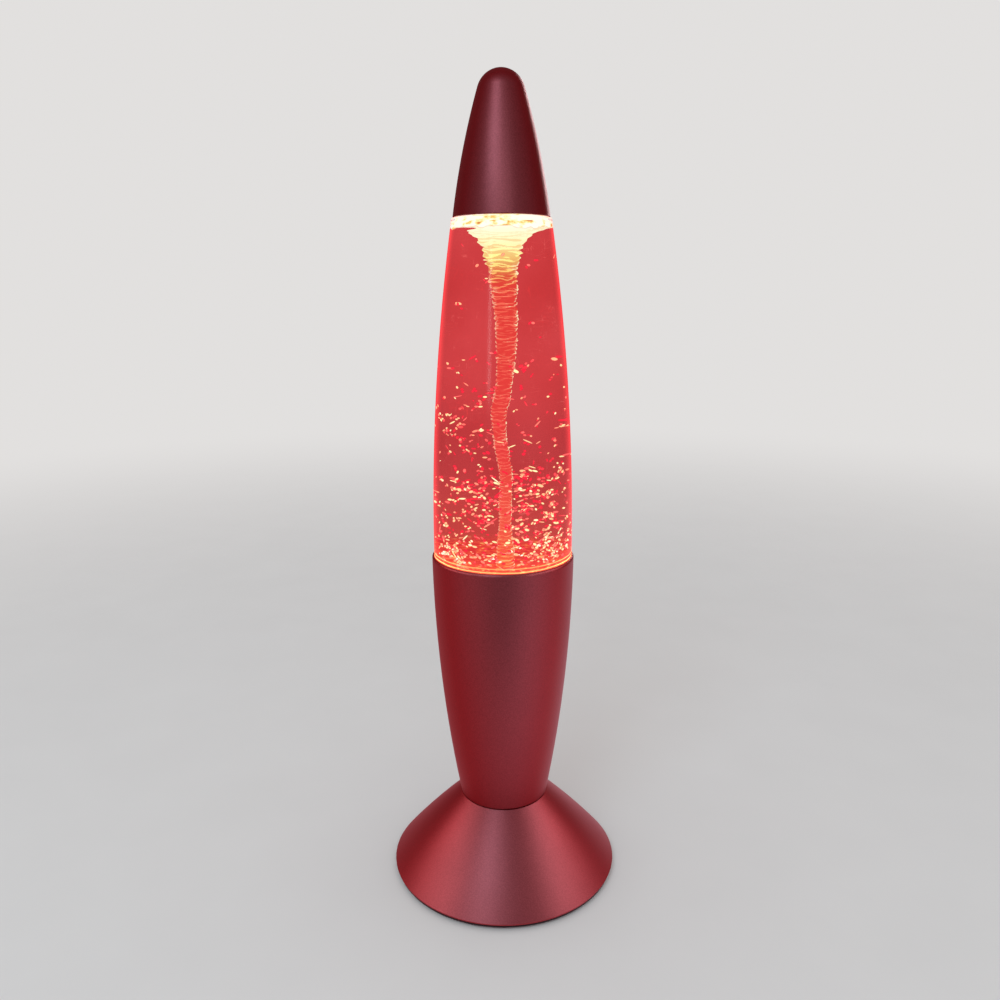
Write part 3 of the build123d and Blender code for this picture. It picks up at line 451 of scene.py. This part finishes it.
def vortex_skin():
    """The air core's surface, all painted glow for the lamp's light: nearly white at the top, red in the
    middle, orange low down.
    """
    material, tree, output = new_material("vortex_skin")
    reach = {"Value": height(tree), "From Min": VORTEX_GLOW_BOTTOM, "From Max": VORTEX_GLOW_TOP}
    share = add(tree, "ShaderNodeMapRange", reach).outputs[0]
    # shaded and lit copies of the painted glow colour, by height
    shaded_tint = ramp(
        tree,
        share,
        (0.0, colour(244, 96, 60)),
        (0.12, colour(238, 84, 66)),
        (0.35, colour(227, 62, 60)),
        (0.82, colour(222, 62, 54)),
        (0.88, colour(212, 90, 56)),
        (0.94, colour(244, 166, 86)),
        (1.0, colour(255, 250, 190)),
    )
    lit_tint = ramp(
        tree,
        share,
        (0.0, colour(255, 186, 112)),
        (0.15, colour(250, 124, 98)),
        (0.35, colour(246, 100, 88)),
        (0.80, colour(248, 118, 92)),
        (0.86, colour(255, 206, 116)),
        (0.90, colour(255, 246, 150)),
        (1.0, colour(255, 255, 238)),
    )
    # painted light: slopes facing down, towards the lamp, and raised ripples take the lit tint
    rightward, _, upward = add(tree, "ShaderNodeSeparateXYZ", {0: geometry(tree, "Normal")}).outputs
    downward = times(tree, upward, -1.0)
    raised = add(tree, "ShaderNodeAttribute", {}, attribute_name="raised").outputs["Fac"]
    streaks = minus(tree, cloud(tree, 0.55, 4.0, (0.35, 0.35, 2.2)), 0.5)
    lean = plus(tree, downward, times(tree, streaks, 1.6))
    lean = plus(tree, lean, times(tree, raised, 0.35))
    bands = times(tree, cloud(tree, 0.5, 3.0, (0.12, 0.12, 0.7)), 0.9)
    light = times(tree, smooth(tree, lean, 0.2, 0.75), plus(tree, bands, 0.35))
    yellow_glow = smooth(tree, share, 0.83, 0.91)
    white_glow = smooth(tree, share, 0.93, 0.985)
    warmth = plus(tree, times(tree, yellow_glow, 0.5), times(tree, white_glow, 0.3))
    light = plus(tree, light, warmth, clamp=True)
    tint = mixed(tree, light, shaded_tint, lit_tint)
    # painted glints along the edges of the raised ripples
    rim = times(tree, smooth(tree, turned_away(tree), 0.38, 0.72), smooth(tree, raised, 0.0, 0.35))
    rim = times(tree, rim, smooth(tree, cloud(tree, 0.45, 1.0), 0.36, 0.50))
    rim = times(tree, rim, smooth(tree, rightward, -2.0, 0.3))
    tint = mixed(tree, rim, tint, colour(255, 234, 188))
    glow = lit_by_itself(tree, tint, HOT_GLOW)
    gloss = add(tree, "ShaderNodeBsdfGlossy", {"Color": (0.9, 0.8, 0.75, 1), "Roughness": 0.12})
    tree.links.new(shared(tree, 0.04, glow, gloss.outputs[0]), output.inputs[0])
    return material


def bubble_skin():
    """Bubbles glow with painted light, as if catching the light below them: near the wall and low down
    white-hot, near the core red.
    """
    material, tree, output = new_material("bubble_skin")
    x, y, up = position(tree)
    near_wall = smooth(tree, length_of(tree, x, y), 8.0, 19.0)
    near_floor = smooth(tree, up, 164.0, 143.0)
    chance = minus(tree, geometry(tree, "Random Per Island"), 0.52)
    glint_level = plus(tree, times(tree, near_wall, 0.42), times(tree, near_floor, 0.2))
    glint_level = plus(tree, glint_level, times(tree, chance, 0.85), clamp=True)
    tint = ramp(
        tree,
        glint_level,
        (0.1, colour(238, 40, 62)),
        (0.35, colour(250, 108, 102)),
        (0.55, colour(255, 188, 138)),
        (0.75, colour(255, 242, 176)),
        (1.0, colour(255, 255, 236)),
    )
    # painted light: each bead keeps its bright tint in the middle and turns deep red at its edge
    core = smooth(tree, turned_away(tree), 0.85, 0.25)
    tint = mixed(tree, core, colour(222, 36, 54), tint)
    tree.links.new(lit_by_itself(tree, tint, BUBBLE_GLOW), output.inputs[0])
    return material


FLOOR_FADE = (300.0, 1300.0)  # the floor dissolves into the surroundings between these distances
FLOOR_HOLE_R = 42.0
SIDE_SHADE = (-120.0, 120.0)  # from left to right the mirrored floor gets lighter
VIEWER_AWAY = 430.0
VIEWER_SHADE = (110.0, 310.0)  # edges of the viewer's soft shade


def mirrored_floor(tree, x, y):
    """What satin plastic mirrors: a floor as in a dim room, dark where the viewer's shade falls in front."""
    side = mixed(tree, smooth(tree, x, *SIDE_SHADE), colour(192, 112, 119), colour(222, 184, 196))
    from_viewer = length_of(tree, x, plus(tree, y, VIEWER_AWAY))
    tint = mixed(tree, smooth(tree, from_viewer, *VIEWER_SHADE), colour(34, 6, 10), side)
    return lit_by_itself(tree, tint, 1.0)


def pale_floor():
    """Matt pale paper that fades into the surroundings far from the lamp.

    It can be seen through from below and under the foot, so that the lamp's underside shows and is lit.
    """
    material, tree, output = new_material("pale_paper")
    grain = cloud(tree, 0.02, 3.0)
    tint = ramp(tree, grain, (0.3, (0.72, 0.705, 0.70, 1)), (0.7, (0.735, 0.72, 0.715, 1)))
    paper = add(tree, "ShaderNodeBsdfDiffuse", {"Color": tint}).outputs[0]
    x, y, _ = position(tree)
    path = add(tree, "ShaderNodeLightPath", {}).outputs
    in_mirror = minus(tree, path["Is Glossy Ray"], path["Is Transmission Ray"], clamp=True)
    near = shared(tree, in_mirror, paper, mirrored_floor(tree, x, y))
    distance = length_of(tree, x, y)
    far = smooth(tree, distance, *FLOOR_FADE)
    under_foot = maths(tree, "LESS_THAN", distance, FLOOR_HOLE_R)
    from_below = geometry(tree, "Backfacing")
    unseen = maths(tree, "MAXIMUM", far, maths(tree, "MAXIMUM", from_below, under_foot))
    clear = add(tree, "ShaderNodeBsdfTransparent", {}).outputs[0]
    tree.links.new(shared(tree, unseen, near, clear), output.inputs[0])
    return material


MATERIALS = {
    "lamp_plastic": lamp_plastic(),
    "dark_plastic": solid_material("dark_moulding", colour(44, 38, 42), 0.5, depth=0.03),
    "black_plastic": solid_material("black_moulding", colour(26, 25, 27), 0.32, depth=0.02),
    "white_plastic": solid_material("white_moulding", colour(228, 224, 216), 0.42, speckle=0.03),
    "soft_rubber": solid_material("rubber", colour(34, 33, 34), 0.78, speckle=0.15, depth=0.04),
    "zinc_steel": solid_material("zinc_steel", colour(188, 188, 184), 0.3, 1.0, grain=1.5),
    "brass": solid_material("brass", colour(212, 176, 104), 0.28, 1.0, grain=1.5),
    "magnet": solid_material("nickel_magnet", colour(150, 150, 154), 0.25, 1.0, grain=1.0),
    "copper_winding": solid_material(
        "copper_winding", colour(196, 112, 66), 0.35, 1.0, grain=3.0, depth=0.08
    ),
    "circuit_board": solid_material("white_board", colour(226, 228, 222), 0.35, grain=1.2),
    "led_lens": glowing_lens(),
    "cell_jacket": cell_jacket(),
    "clear_plastic": clear_wall(),
    "lit_water": water_body(),
    "red_sleeve": solid_material("red_sleeve", colour(178, 30, 26), 0.4, grain=1.0),
    "black_sleeve": solid_material("black_sleeve", colour(28, 28, 30), 0.4, grain=1.0),
}


def dress_cad_nodes():
    """Gives every CAD node the material of its slot."""
    for part in frame["record"]["subparts"]:
        node = frame["nodes"][part["node"]]
        for slot in node.material_slots:
            slot.material = MATERIALS[part["material_slot"]]


# ---------------------------------------------------------------- geometry helpers

SHARP_ANGLE = 35.0


def ring(radius, z, count):
    """Circle of points about the lamp's axis, in millimetres."""
    angles = [TURN * index / count for index in range(count)]
    return [(radius * math.cos(angle), radius * math.sin(angle), z) for angle in angles]


def new_object(name, data):
    made = bpy.data.objects.new(name, data)
    bpy.context.scene.collection.objects.link(made)
    return made


def smooth_piece(name, points, faces, materials, slots=None):
    """Smooth-shaded object from points in millimetres; slots gives each face's material."""
    mesh = bpy.data.meshes.new(name)
    mesh.from_pydata([Vector(point) * MM for point in points], [], faces)
    mesh.polygons.foreach_set("use_smooth", [True] * len(faces))
    mesh.polygons.foreach_set("material_index", slots or [0] * len(faces))
    mesh.update()
    for material in materials:
        mesh.materials.append(material)
    return new_object(name, mesh)


def skin_of_rings(name, rings, materials, material_of, closed=True):
    """Mesh through rings of equal point count; a ring of one point closes an end.

    material_of gives the number of the material between a ring and the next.
    A closed skin joins its last ring to its first.
    """
    points = []
    starts = []
    for points_of_ring in rings:
        starts.append(len(points))
        points.extend(points_of_ring)
    pairs = list(zip(range(len(rings)), range(1, len(rings))))
    if closed:
        pairs.append((len(rings) - 1, 0))
    faces = []
    slots = []
    for low, high in pairs:
        one, other = len(rings[low]), len(rings[high])
        count = max(one, other)
        if count == 1:
            continue
        for index in range(count):
            after = (index + 1) % count
            a = starts[low] + index % one
            b = starts[low] + after % one
            c = starts[high] + after % other
            d = starts[high] + index % other
            faces.append(list(dict.fromkeys((a, b, c, d))))
            slots.append(material_of(low))
    piece = smooth_piece(name, points, faces, materials, slots)
    piece.data.set_sharp_from_angle(angle=math.radians(SHARP_ANGLE))
    return piece


def blended(value, places, values):
    """Smooth curve through (places, values): cubic steps whose slopes come from the neighbours."""
    if value <= places[0]:
        return values[0]
    if value >= places[-1]:
        return values[-1]
    index = next(i for i in range(len(places) - 1) if places[i + 1] >= value)

    def slope(i):
        before, after = max(i - 1, 0), min(i + 1, len(places) - 1)
        return (values[after] - values[before]) / (places[after] - places[before])

    width = places[index + 1] - places[index]
    t = (value - places[index]) / width
    return (
        (2 * t**3 - 3 * t**2 + 1) * values[index]
        + (t**3 - 2 * t**2 + t) * width * slope(index)
        + (3 * t**2 - 2 * t**3) * values[index + 1]
        + (t**3 - t**2) * width * slope(index + 1)
    )


def spread(low, high, count):
    """Evenly spaced numbers from low to high, both ends included."""
    return [low + (high - low) * index / (count - 1) for index in range(count)]


# ---------------------------------------------------------------- bottle

SEGMENTS = 128
RIM_ROUND = 0.9  # rounding of the shoulder's outer edge
NECK_FILLET = 0.6  # hollow between shoulder and neck
NECK_BEVEL = 0.4
BORE_BEVEL = 0.3
BORE_CORNER = 0.5
INNER_ROUND = 1.2  # rounding under the shoulder
BELOW_ROUND = 1.5  # the wall's own curve starts this far under the rounding
BOTTOM_BEVEL = 0.6
FLOOR_CORNER = 2.0  # the inside meets the floor over this width
PIN_SEAT_R = 3.0
PIN_SEAT_TALL = 0.95
PIN_BORE_R = 1.05
PIN_BORE_FLOOR = 1.0


def bottle_outside():
    """(radius, height) of the bottle's outside, from the middle of its bottom up to the neck's rim."""
    rim_z = SHOULDER_Z - RIM_ROUND
    rim_r = bottle_r(rim_z) - RIM_ROUND
    points = [(0.0, BOTTLE_BOTTOM), (bottle_foot_r(BOTTLE_BOTTOM) - BOTTOM_BEVEL, BOTTLE_BOTTOM)]
    points += [(bottle_foot_r(z), z) for z in spread(BOTTLE_BOTTOM + BOTTOM_BEVEL, STEP_Z, 10)]
    points += [(bottle_r(z), z) for z in spread(STEP_Z, rim_z, 48)]
    points += [
        (rim_r + RIM_ROUND * math.cos(angle), rim_z + RIM_ROUND * math.sin(angle))
        for angle in spread(0.2, TURN / 4, 6)
    ]
    fillet_r = NECK_R + NECK_FILLET
    fillet_z = SHOULDER_Z + NECK_FILLET
    points += [
        (fillet_r - NECK_FILLET * math.sin(angle), fillet_z - NECK_FILLET * math.cos(angle))
        for angle in spread(0, TURN / 4, 5)
    ]
    return points + [(NECK_R, NECK_TOP - NECK_BEVEL), (NECK_R - NECK_BEVEL, NECK_TOP)]


def bottle_inside():
    """(radius, height) of the bottle's inside, from the neck's rim down to the pin's bore in the floor."""
    under = SHOULDER_Z - BOTTLE_WALL
    corner_z = under - INNER_ROUND
    corner_r = bottle_inner_r(corner_z) - INNER_ROUND
    points = [(NECK_BORE_R + BORE_BEVEL, NECK_TOP), (NECK_BORE_R, NECK_TOP - BORE_BEVEL)]
    points += [(NECK_BORE_R, under + BORE_CORNER), (NECK_BORE_R + BORE_CORNER, under)]
    points += [
        (corner_r + INNER_ROUND * math.sin(angle), corner_z + INNER_ROUND * math.cos(angle))
        for angle in spread(0, TURN / 4, 6)
    ]
    wall_top = corner_z - BELOW_ROUND
    points += [(bottle_inner_r(z), z) for z in spread(wall_top, BOTTLE_FLOOR + FLOOR_CORNER, 50)]
    floor_r = bottle_inner_r(BOTTLE_FLOOR)
    points += [(floor_r - BOTTOM_BEVEL, BOTTLE_FLOOR + BOTTOM_BEVEL), (floor_r - FLOOR_CORNER, BOTTLE_FLOOR)]
    seat_z = BOTTLE_FLOOR + PIN_SEAT_TALL
    points += [(PIN_SEAT_R, BOTTLE_FLOOR), (PIN_SEAT_R, seat_z), (PIN_BORE_R, seat_z)]
    return points + [(PIN_BORE_R, BOTTLE_BOTTOM + PIN_BORE_FLOOR), (0.0, BOTTLE_BOTTOM + PIN_BORE_FLOOR)]


def build_bottle():
    """Clear bottle as one turned wall, with one skin outside and another inside."""
    outside = bottle_outside()
    rings = [ring(r, z, SEGMENTS) if r else [(0.0, 0.0, z)] for r, z in outside + bottle_inside()]
    last_outside = len(outside) - 1
    piece = skin_of_rings(
        "bottle_wall",
        rings,
        [MATERIALS["clear_plastic"], clear_inside()],
        lambda low: 0 if low < last_outside else 1,
        closed=False,
    )
    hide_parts("bottle")
    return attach(piece, "stand")


# ---------------------------------------------------------------- water and vortex

CORE_SEGMENTS = 72
RINGS_PER_RIPPLE = 9
LARGEST_STEP = 0.2
SURFACE_INNER_R = 15.0
SURFACE_SAG = 1.1
SURFACE_CHOP = 1.3
SURFACE_RAISED = 0.4  # the vortex skin treats the open surface as if it stood out this far

# The air core: its radius, its sway to the side and its ripples, each as heights and the values at them.
FUNNEL_TOP = 273.3
FUNNEL_Z = (
    113.2, 130.0, 147.0, 158.0, 175.0, 187.0, 193.0, 198.5, 204.5, 214.0, 221.0,
    228.5, 238.4, 247.0, 253.3, 257.4, 262.0, 265.8, 268.5, 271.0, 272.6, 273.4,
)
FUNNEL_R = (
    3.0, 2.9, 2.6, 1.9, 1.85, 1.95, 1.9, 2.05, 2.4, 2.35, 2.5,
    2.95, 3.1, 3.45, 3.8, 4.1, 5.0, 5.3, 6.9, 9.3, 12.0, 15.0,
)
SWAY_Z = (
    113.2, 150.0, 170.0, 175.5, 181.0, 187.0, 193.0, 198.5,
    204.5, 210.0, 221.0, 230.0, 240.0, 250.0, 262.0,
)
SWAY_X = (0.5, 0.75, 0.8, 1.0, 0.85, 0.0, -0.65, -1.05, -0.95, 0.0, 1.0, 1.3, 1.2, 0.6, 0.2)
SWAY_Y = 0.8
SWAY_Y_PACE = 9.0  # millimetres of height per radian of the sway towards the eye
SWAY_FADE = 40  # the sway towards the eye dies out over this height under the surface
RIPPLE_Z = (113.2, 150.0, 200.0, 240.0, 252.0, 260.0, 266.0, 273.0)
RIPPLE_PITCH = (1.5, 1.5, 1.7, 1.9, 2.2, 2.6, 2.9, 3.0)
RIPPLE_DEPTH = (0.35, 0.42, 0.52, 0.62, 0.75, 0.9, 1.0, 1.1)
NOTCH_Z = 272.9
NOTCH_DEPTH = 7.0
NOTCH_HALF_HEIGHT = 0.6


def core_centre(z):
    """The rope of air sways about the lamp's axis."""
    fade = min(1.0, (WATER_TOP - z) / SWAY_FADE)
    return blended(z, SWAY_Z, SWAY_X), SWAY_Y * math.sin(z / SWAY_Y_PACE) * fade


def ripple(z, angle, phase):
    """How far the ripples stand out, of about 1: round crests, sharp valleys and finer threads between."""
    round_x, round_y = math.cos(angle), math.sin(angle)
    wander = 2.0 * noise.noise(Vector((0.8 * round_x, 0.8 * round_y, z * 0.33)))
    strength = 1.0 + 1.1 * noise.noise(Vector((1.6 * round_x, 1.6 * round_y, z * 0.5 + 40)))
    wave = abs(math.sin(0.5 * (phase + angle) + 1.4 * wander))
    thread = math.sin(2.7 * phase - 2 * angle + 4 * wander)
    bulge = 0.5 * noise.noise(Vector((round_x, round_y, z * 0.16 + 9)))
    return strength * (wave - 0.55) + 0.14 * thread + bulge


def notch(z, angle):
    """On one side a groove under the surface makes a fold of the funnel's rim stand free."""
    to_the_left = max(0.0, -math.cos(angle))
    return NOTCH_DEPTH * to_the_left**2 * math.exp(-((z - NOTCH_Z) / NOTCH_HALF_HEIGHT) ** 2)


def core_ring(z, phase):
    """Points of the air core at one height, and how far each stands out from it."""
    centre = core_centre(z)
    radius = blended(z, FUNNEL_Z, FUNNEL_R)
    depth = blended(z, RIPPLE_Z, RIPPLE_DEPTH)
    points = []
    raised = []
    for index in range(CORE_SEGMENTS):
        angle = TURN * index / CORE_SEGMENTS
        standing_out = ripple(z, angle, phase)
        r = radius + depth * standing_out - notch(z, angle)
        points.append((centre[0] + r * math.cos(angle), centre[1] + r * math.sin(angle), z))
        raised.append(standing_out)
    return points, raised


def surface_ring(radius, z, calm):
    """Ring of the water's surface; calm is 1 at the wall, where the surface stays level."""
    points = []
    for index in range(CORE_SEGMENTS):
        angle = TURN * index / CORE_SEGMENTS
        x, y = radius * math.cos(angle), radius * math.sin(angle)
        waves = noise.noise(Vector((x * 0.28, y * 0.28, 7.0)))
        wavelets = noise.noise(Vector((x * 0.7, y * 0.7, 3.0)))
        points.append((x, y, z + SURFACE_CHOP * (1 - calm) * (waves + 0.5 * wavelets)))
    return points


def build_water():
    """Body of water: floor, wall, choppy surface, and the funnel down to the impeller's room."""
    bottom = BOTTLE_FLOOR - WATER_LAP
    wall_top_r = bottle_inner_r(WATER_TOP) + WATER_LAP
    rings = [ring(STIR_ROOM_R, bottom, CORE_SEGMENTS)]
    rings += [ring(bottle_inner_r(bottom) - FLOOR_CORNER, bottom, CORE_SEGMENTS)]
    rings += [
        ring(bottle_inner_r(z) + WATER_LAP, z, CORE_SEGMENTS)
        for z in spread(BOTTLE_FLOOR + FLOOR_CORNER, WATER_TOP, 60)
    ]
    wall_rings = len(rings)
    for share in spread(0.08, 0.98, 16):
        radius = wall_top_r + (SURFACE_INNER_R - wall_top_r) * share
        rings.append(surface_ring(radius, WATER_TOP - SURFACE_SAG * share, 1 - share))
    raised = [SURFACE_RAISED] * CORE_SEGMENTS * len(rings)
    z = FUNNEL_TOP
    phase = 0.0
    while z > STIR_ROOM_TOP:
        points, standing_out = core_ring(z, phase)
        rings.append(points)
        raised += standing_out
        pitch = blended(z, RIPPLE_Z, RIPPLE_PITCH)
        step = min(pitch / RINGS_PER_RIPPLE, LARGEST_STEP)
        z -= step
        phase += TURN * step / pitch
    rings.append(ring(FUNNEL_R[0], STIR_ROOM_TOP, CORE_SEGMENTS))
    core_rings = len(rings)
    rings.append(ring(STIR_ROOM_R, STIR_ROOM_TOP, CORE_SEGMENTS))
    raised += [0.0] * CORE_SEGMENTS * 2
    piece = skin_of_rings(
        "water_and_vortex",
        rings,
        [MATERIALS["lit_water"], vortex_skin()],
        lambda low: 1 if wall_rings - 1 <= low < core_rings else 0,
    )
    piece.data.attributes.new("raised", "FLOAT", "POINT").data.foreach_set("value", raised)
    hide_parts("water")
    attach(piece, "water")


# ---------------------------------------------------------------- bubbles

BEAD_ROWS = 5
BEAD_COLUMNS = 8
WALL_CLEARANCE = 1.2
CORE_CLEARANCE = 5.5
PUSHED_OUT = 4.0  # bubbles too near the air core are moved outwards by this
CORE_SWAY_SHARE = 0.3  # share of the core's sway that the bubbles follow
BEAD_SIZE = (0.40, 0.76)
STREAK_SHARE = 0.1  # share of the bubbles that are drawn as one long bead
BEAD_CHOICES = (1, 2, 2)
BEAD_SPACING = 2.1  # distance of two beads of a pair, in bead sizes

# Layers of bubbles: count, lowest height, height of the layer, thinning upwards, crowding to the wall.
BUBBLE_LAYERS = (
    (680, 128, 50, 1.0, 0.5),
    (230, 168, 56, 1.4, 0.6),
)
SINGLE_BUBBLES = 14
SINGLE_BUBBLE_Z = (225, 268)
SINGLE_BUBBLE_MIN_R = 8
# Clusters: angle in degrees, radius, height, size, count.
BUBBLE_CLUSTERS = (
    (206, 20.5, 200.0, 8.0, 26),
    (214, 22.0, 148.0, 5.0, 40),
    (322, 22.0, 151.0, 6.5, 60),
    (330, 21.0, 181.0, 4.5, 12),
)


def bead(centre, along, half_length, half_height, points, faces):
    """Adds one small egg-shaped bead, lying along a direction, to the points and faces."""
    along = along.normalized()
    side = along.cross(Vector((0, 0, 1))).normalized()
    up = side.cross(along)
    start = len(points)
    points.append(centre + along * half_length)
    for row in range(1, BEAD_ROWS):
        tilt = math.pi * row / BEAD_ROWS
        for column in range(BEAD_COLUMNS):
            turn = TURN * column / BEAD_COLUMNS
            across = half_height * math.sin(tilt)
            points.append(
                centre
                + along * half_length * math.cos(tilt)
                + side * across * math.cos(turn)
                + up * across * math.sin(turn)
            )
    points.append(centre - along * half_length)
    last = len(points) - 1
    for column in range(BEAD_COLUMNS):
        after = (column + 1) % BEAD_COLUMNS
        faces.append((start, start + 1 + after, start + 1 + column))
        for row in range(BEAD_ROWS - 2):
            a = start + 1 + row * BEAD_COLUMNS
            faces.append((a + column, a + after, a + BEAD_COLUMNS + after, a + BEAD_COLUMNS + column))
        a = start + 1 + (BEAD_ROWS - 2) * BEAD_COLUMNS
        faces.append((last, a + column, a + after))


def bubble_places(rng):
    """(angle, radius, height) of every bubble: thick at the bottom and the wall, thinning upwards."""
    spots = []
    for count, lowest, tall, thinning, crowding in BUBBLE_LAYERS:
        for _ in range(count):
            z = lowest + tall * rng.random() ** thinning
            angle = rng.uniform(0, TURN)
            spots.append((angle, (bottle_inner_r(z) - WALL_CLEARANCE) * rng.random() ** crowding, z))
    for _ in range(SINGLE_BUBBLES):
        z = rng.uniform(*SINGLE_BUBBLE_Z)
        spots.append((rng.uniform(0, TURN), rng.uniform(SINGLE_BUBBLE_MIN_R, bottle_inner_r(z) - 1.5), z))
    for degrees, radius, z, size, count in BUBBLE_CLUSTERS:
        for _ in range(count):
            spots.append((
                math.radians(degrees) + rng.gauss(0, size / 26),
                min(radius + rng.gauss(0, 1.6), bottle_inner_r(z) - 1.3),
                z + rng.gauss(0, size * 0.55),
            ))
    return spots


def build_bubbles():
    """Each bubble shows as one or two beads: the glints that a small sphere of air gives off."""
    rng = random.Random(11)
    points = []
    faces = []
    for angle, radius, z in bubble_places(rng):
        core_x, core_y = core_centre(z)
        if radius < CORE_CLEARANCE:
            radius += PUSHED_OUT
        x = CORE_SWAY_SHARE * core_x + radius * math.cos(angle)
        y = CORE_SWAY_SHARE * core_y + radius * math.sin(angle)
        centre = Vector((x, y, z))
        around = Vector((-math.sin(angle), math.cos(angle), 0.0))
        pair_line = (around + Vector((0.0, 0.0, rng.uniform(-1.0, 1.0)))).normalized()
        size = rng.uniform(*BEAD_SIZE)
        if rng.random() < STREAK_SHARE:
            bead(centre, pair_line, size * rng.uniform(1.8, 3.0), size * 0.45, points, faces)
            continue
        beads = rng.choice(BEAD_CHOICES)
        for index in range(beads):
            offset = pair_line * size * BEAD_SPACING * (index - (beads - 1) / 2)
            lie = around + Vector((0.0, 0.0, rng.uniform(-1.2, 1.2)))
            half_length = size * rng.uniform(0.9, 1.4)
            half_height = size * rng.uniform(0.55, 0.85)
            bead(centre + offset, lie, half_length, half_height, points, faces)
    piece = smooth_piece("bubbles", points, faces, [bubble_skin()])
    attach(piece, "water")


# ---------------------------------------------------------------- studio

SURROUNDINGS = (0.76, 0.745, 0.735, 1)
SOFT_FILL = (0.72, 0.71, 0.71, 1)
MIRRORED_FILL = (0.20, 0.06, 0.065, 1)
CAMERA_AWAY = 0.345
CAMERA_HEIGHT = 0.2512
CAMERA_TILT = 13.76
CAMERA_ROLL = 0.25


def area_light(name, where, target, size, power, tint=(1.0, 1.0, 1.0), unlit=()):
    """Soft rectangular light; pieces in unlit get nothing from it, so they show no reflection of it."""
    data = bpy.data.lights.new(name, "AREA")
    data.shape = "RECTANGLE"
    data.size, data.size_y = size
    data.energy = power
    data.color = tint
    light = new_object(name, data)
    light.location = where
    light.rotation_euler = (Vector(target) - Vector(where)).to_track_quat("-Z", "Y").to_euler()
    light.visible_camera = False
    if unlit:
        left_out = bpy.data.collections.new(name + "_leaves_out")
        for piece in unlit:
            left_out.objects.link(piece)
        light.light_linking.receiver_collection = left_out
        for member in left_out.collection_objects:
            member.light_linking.link_state = "EXCLUDE"


def build_world():
    """Seamless pale surroundings for the eye; dimmer soft fill for everything the light falls on."""
    world = bpy.data.worlds.new("studio")
    bpy.context.scene.world = world
    world.use_nodes = True
    tree = world.node_tree
    tree.nodes.clear()
    path = add(tree, "ShaderNodeLightPath", {}).outputs
    seen = maths(tree, "MAXIMUM", path["Is Camera Ray"], path["Is Transmission Ray"])
    fill = mixed(tree, path["Is Glossy Ray"], SOFT_FILL, MIRRORED_FILL)
    shade = mixed(tree, seen, fill, SURROUNDINGS)
    sky = add(tree, "ShaderNodeBackground", {"Color": shade, "Strength": 1.0})
    output = add(tree, "ShaderNodeOutputWorld", {})
    tree.links.new(sky.outputs[0], output.inputs[0])


def build_floor():
    bpy.ops.mesh.primitive_circle_add(vertices=96, radius=3.0, fill_type="NGON", location=(0, 0, 0))
    floor = bpy.context.object
    floor.name = "floor"
    floor.data.materials.append(pale_floor())
    return floor


def build_lights(bottle, floor):
    """Each light leaves out the pieces on which its reflection would not be as in the photo."""
    cap = frame["nodes"]["top_cap"]
    lower_shells = (frame["nodes"]["foot_shell"], frame["nodes"]["casing"])
    low = (0.0, 0.0, 0.04)
    middle = (0.0, 0.0, 0.17)
    high = (0.0, 0.0, 0.24)
    top = (0.0, 0.0, 0.3)
    area_light("key", (-0.36, -0.80, 0.98), middle, size=(0.50, 0.40), power=2.3, tint=(0.66, 0.9, 1.0))
    side = {"target": low, "size": (0.7, 0.3), "unlit": (bottle, cap, floor)}
    area_light("left", (-0.60, -0.10, 0.36), power=1.4, tint=(1.0, 0.72, 0.7), **side)
    area_light("right", (0.58, -0.10, 0.40), power=1.5, tint=(1.0, 0.84, 0.84), **side)
    area_light("rim", (0.42, 0.90, 0.50), middle, size=(0.15, 0.6), power=1.8, unlit=(bottle, floor))
    area_light("streak", (-0.45, -1.10, 0.45), high, size=(0.11, 0.44), power=0.7, unlit=(cap,))
    area_light(
        "front",
        (0.05, -1.00, 0.70),
        top,
        size=(0.8, 0.4),
        power=1.0,
        tint=(0.8, 0.95, 1.0),
        unlit=(bottle, *lower_shells),
    )


def build_camera():
    data = bpy.data.cameras.new("camera")
    data.sensor_width = 36.0
    data.lens = 31.05
    data.shift_x = -0.0018
    camera = new_object("camera", data)
    camera.location = (0.0, -CAMERA_AWAY, CAMERA_HEIGHT)
    camera.rotation_euler = (math.radians(90 - CAMERA_TILT), math.radians(CAMERA_ROLL), 0.0)
    bpy.context.scene.camera = camera


def set_view():
    """Plain colours, and enough bounces to see through bottle, water and bubbles."""
    scene = bpy.context.scene
    scene.view_settings.view_transform = "Standard"
    scene.view_settings.look = "None"
    scene.cycles.max_bounces = 24
    scene.cycles.transmission_bounces = 24
    scene.cycles.transparent_max_bounces = 16
    scene.cycles.glossy_bounces = 6


dress_cad_nodes()
bottle_wall = build_bottle()
build_water()
build_bubbles()
build_world()
build_lights(bottle_wall, build_floor())
build_camera()
set_view()
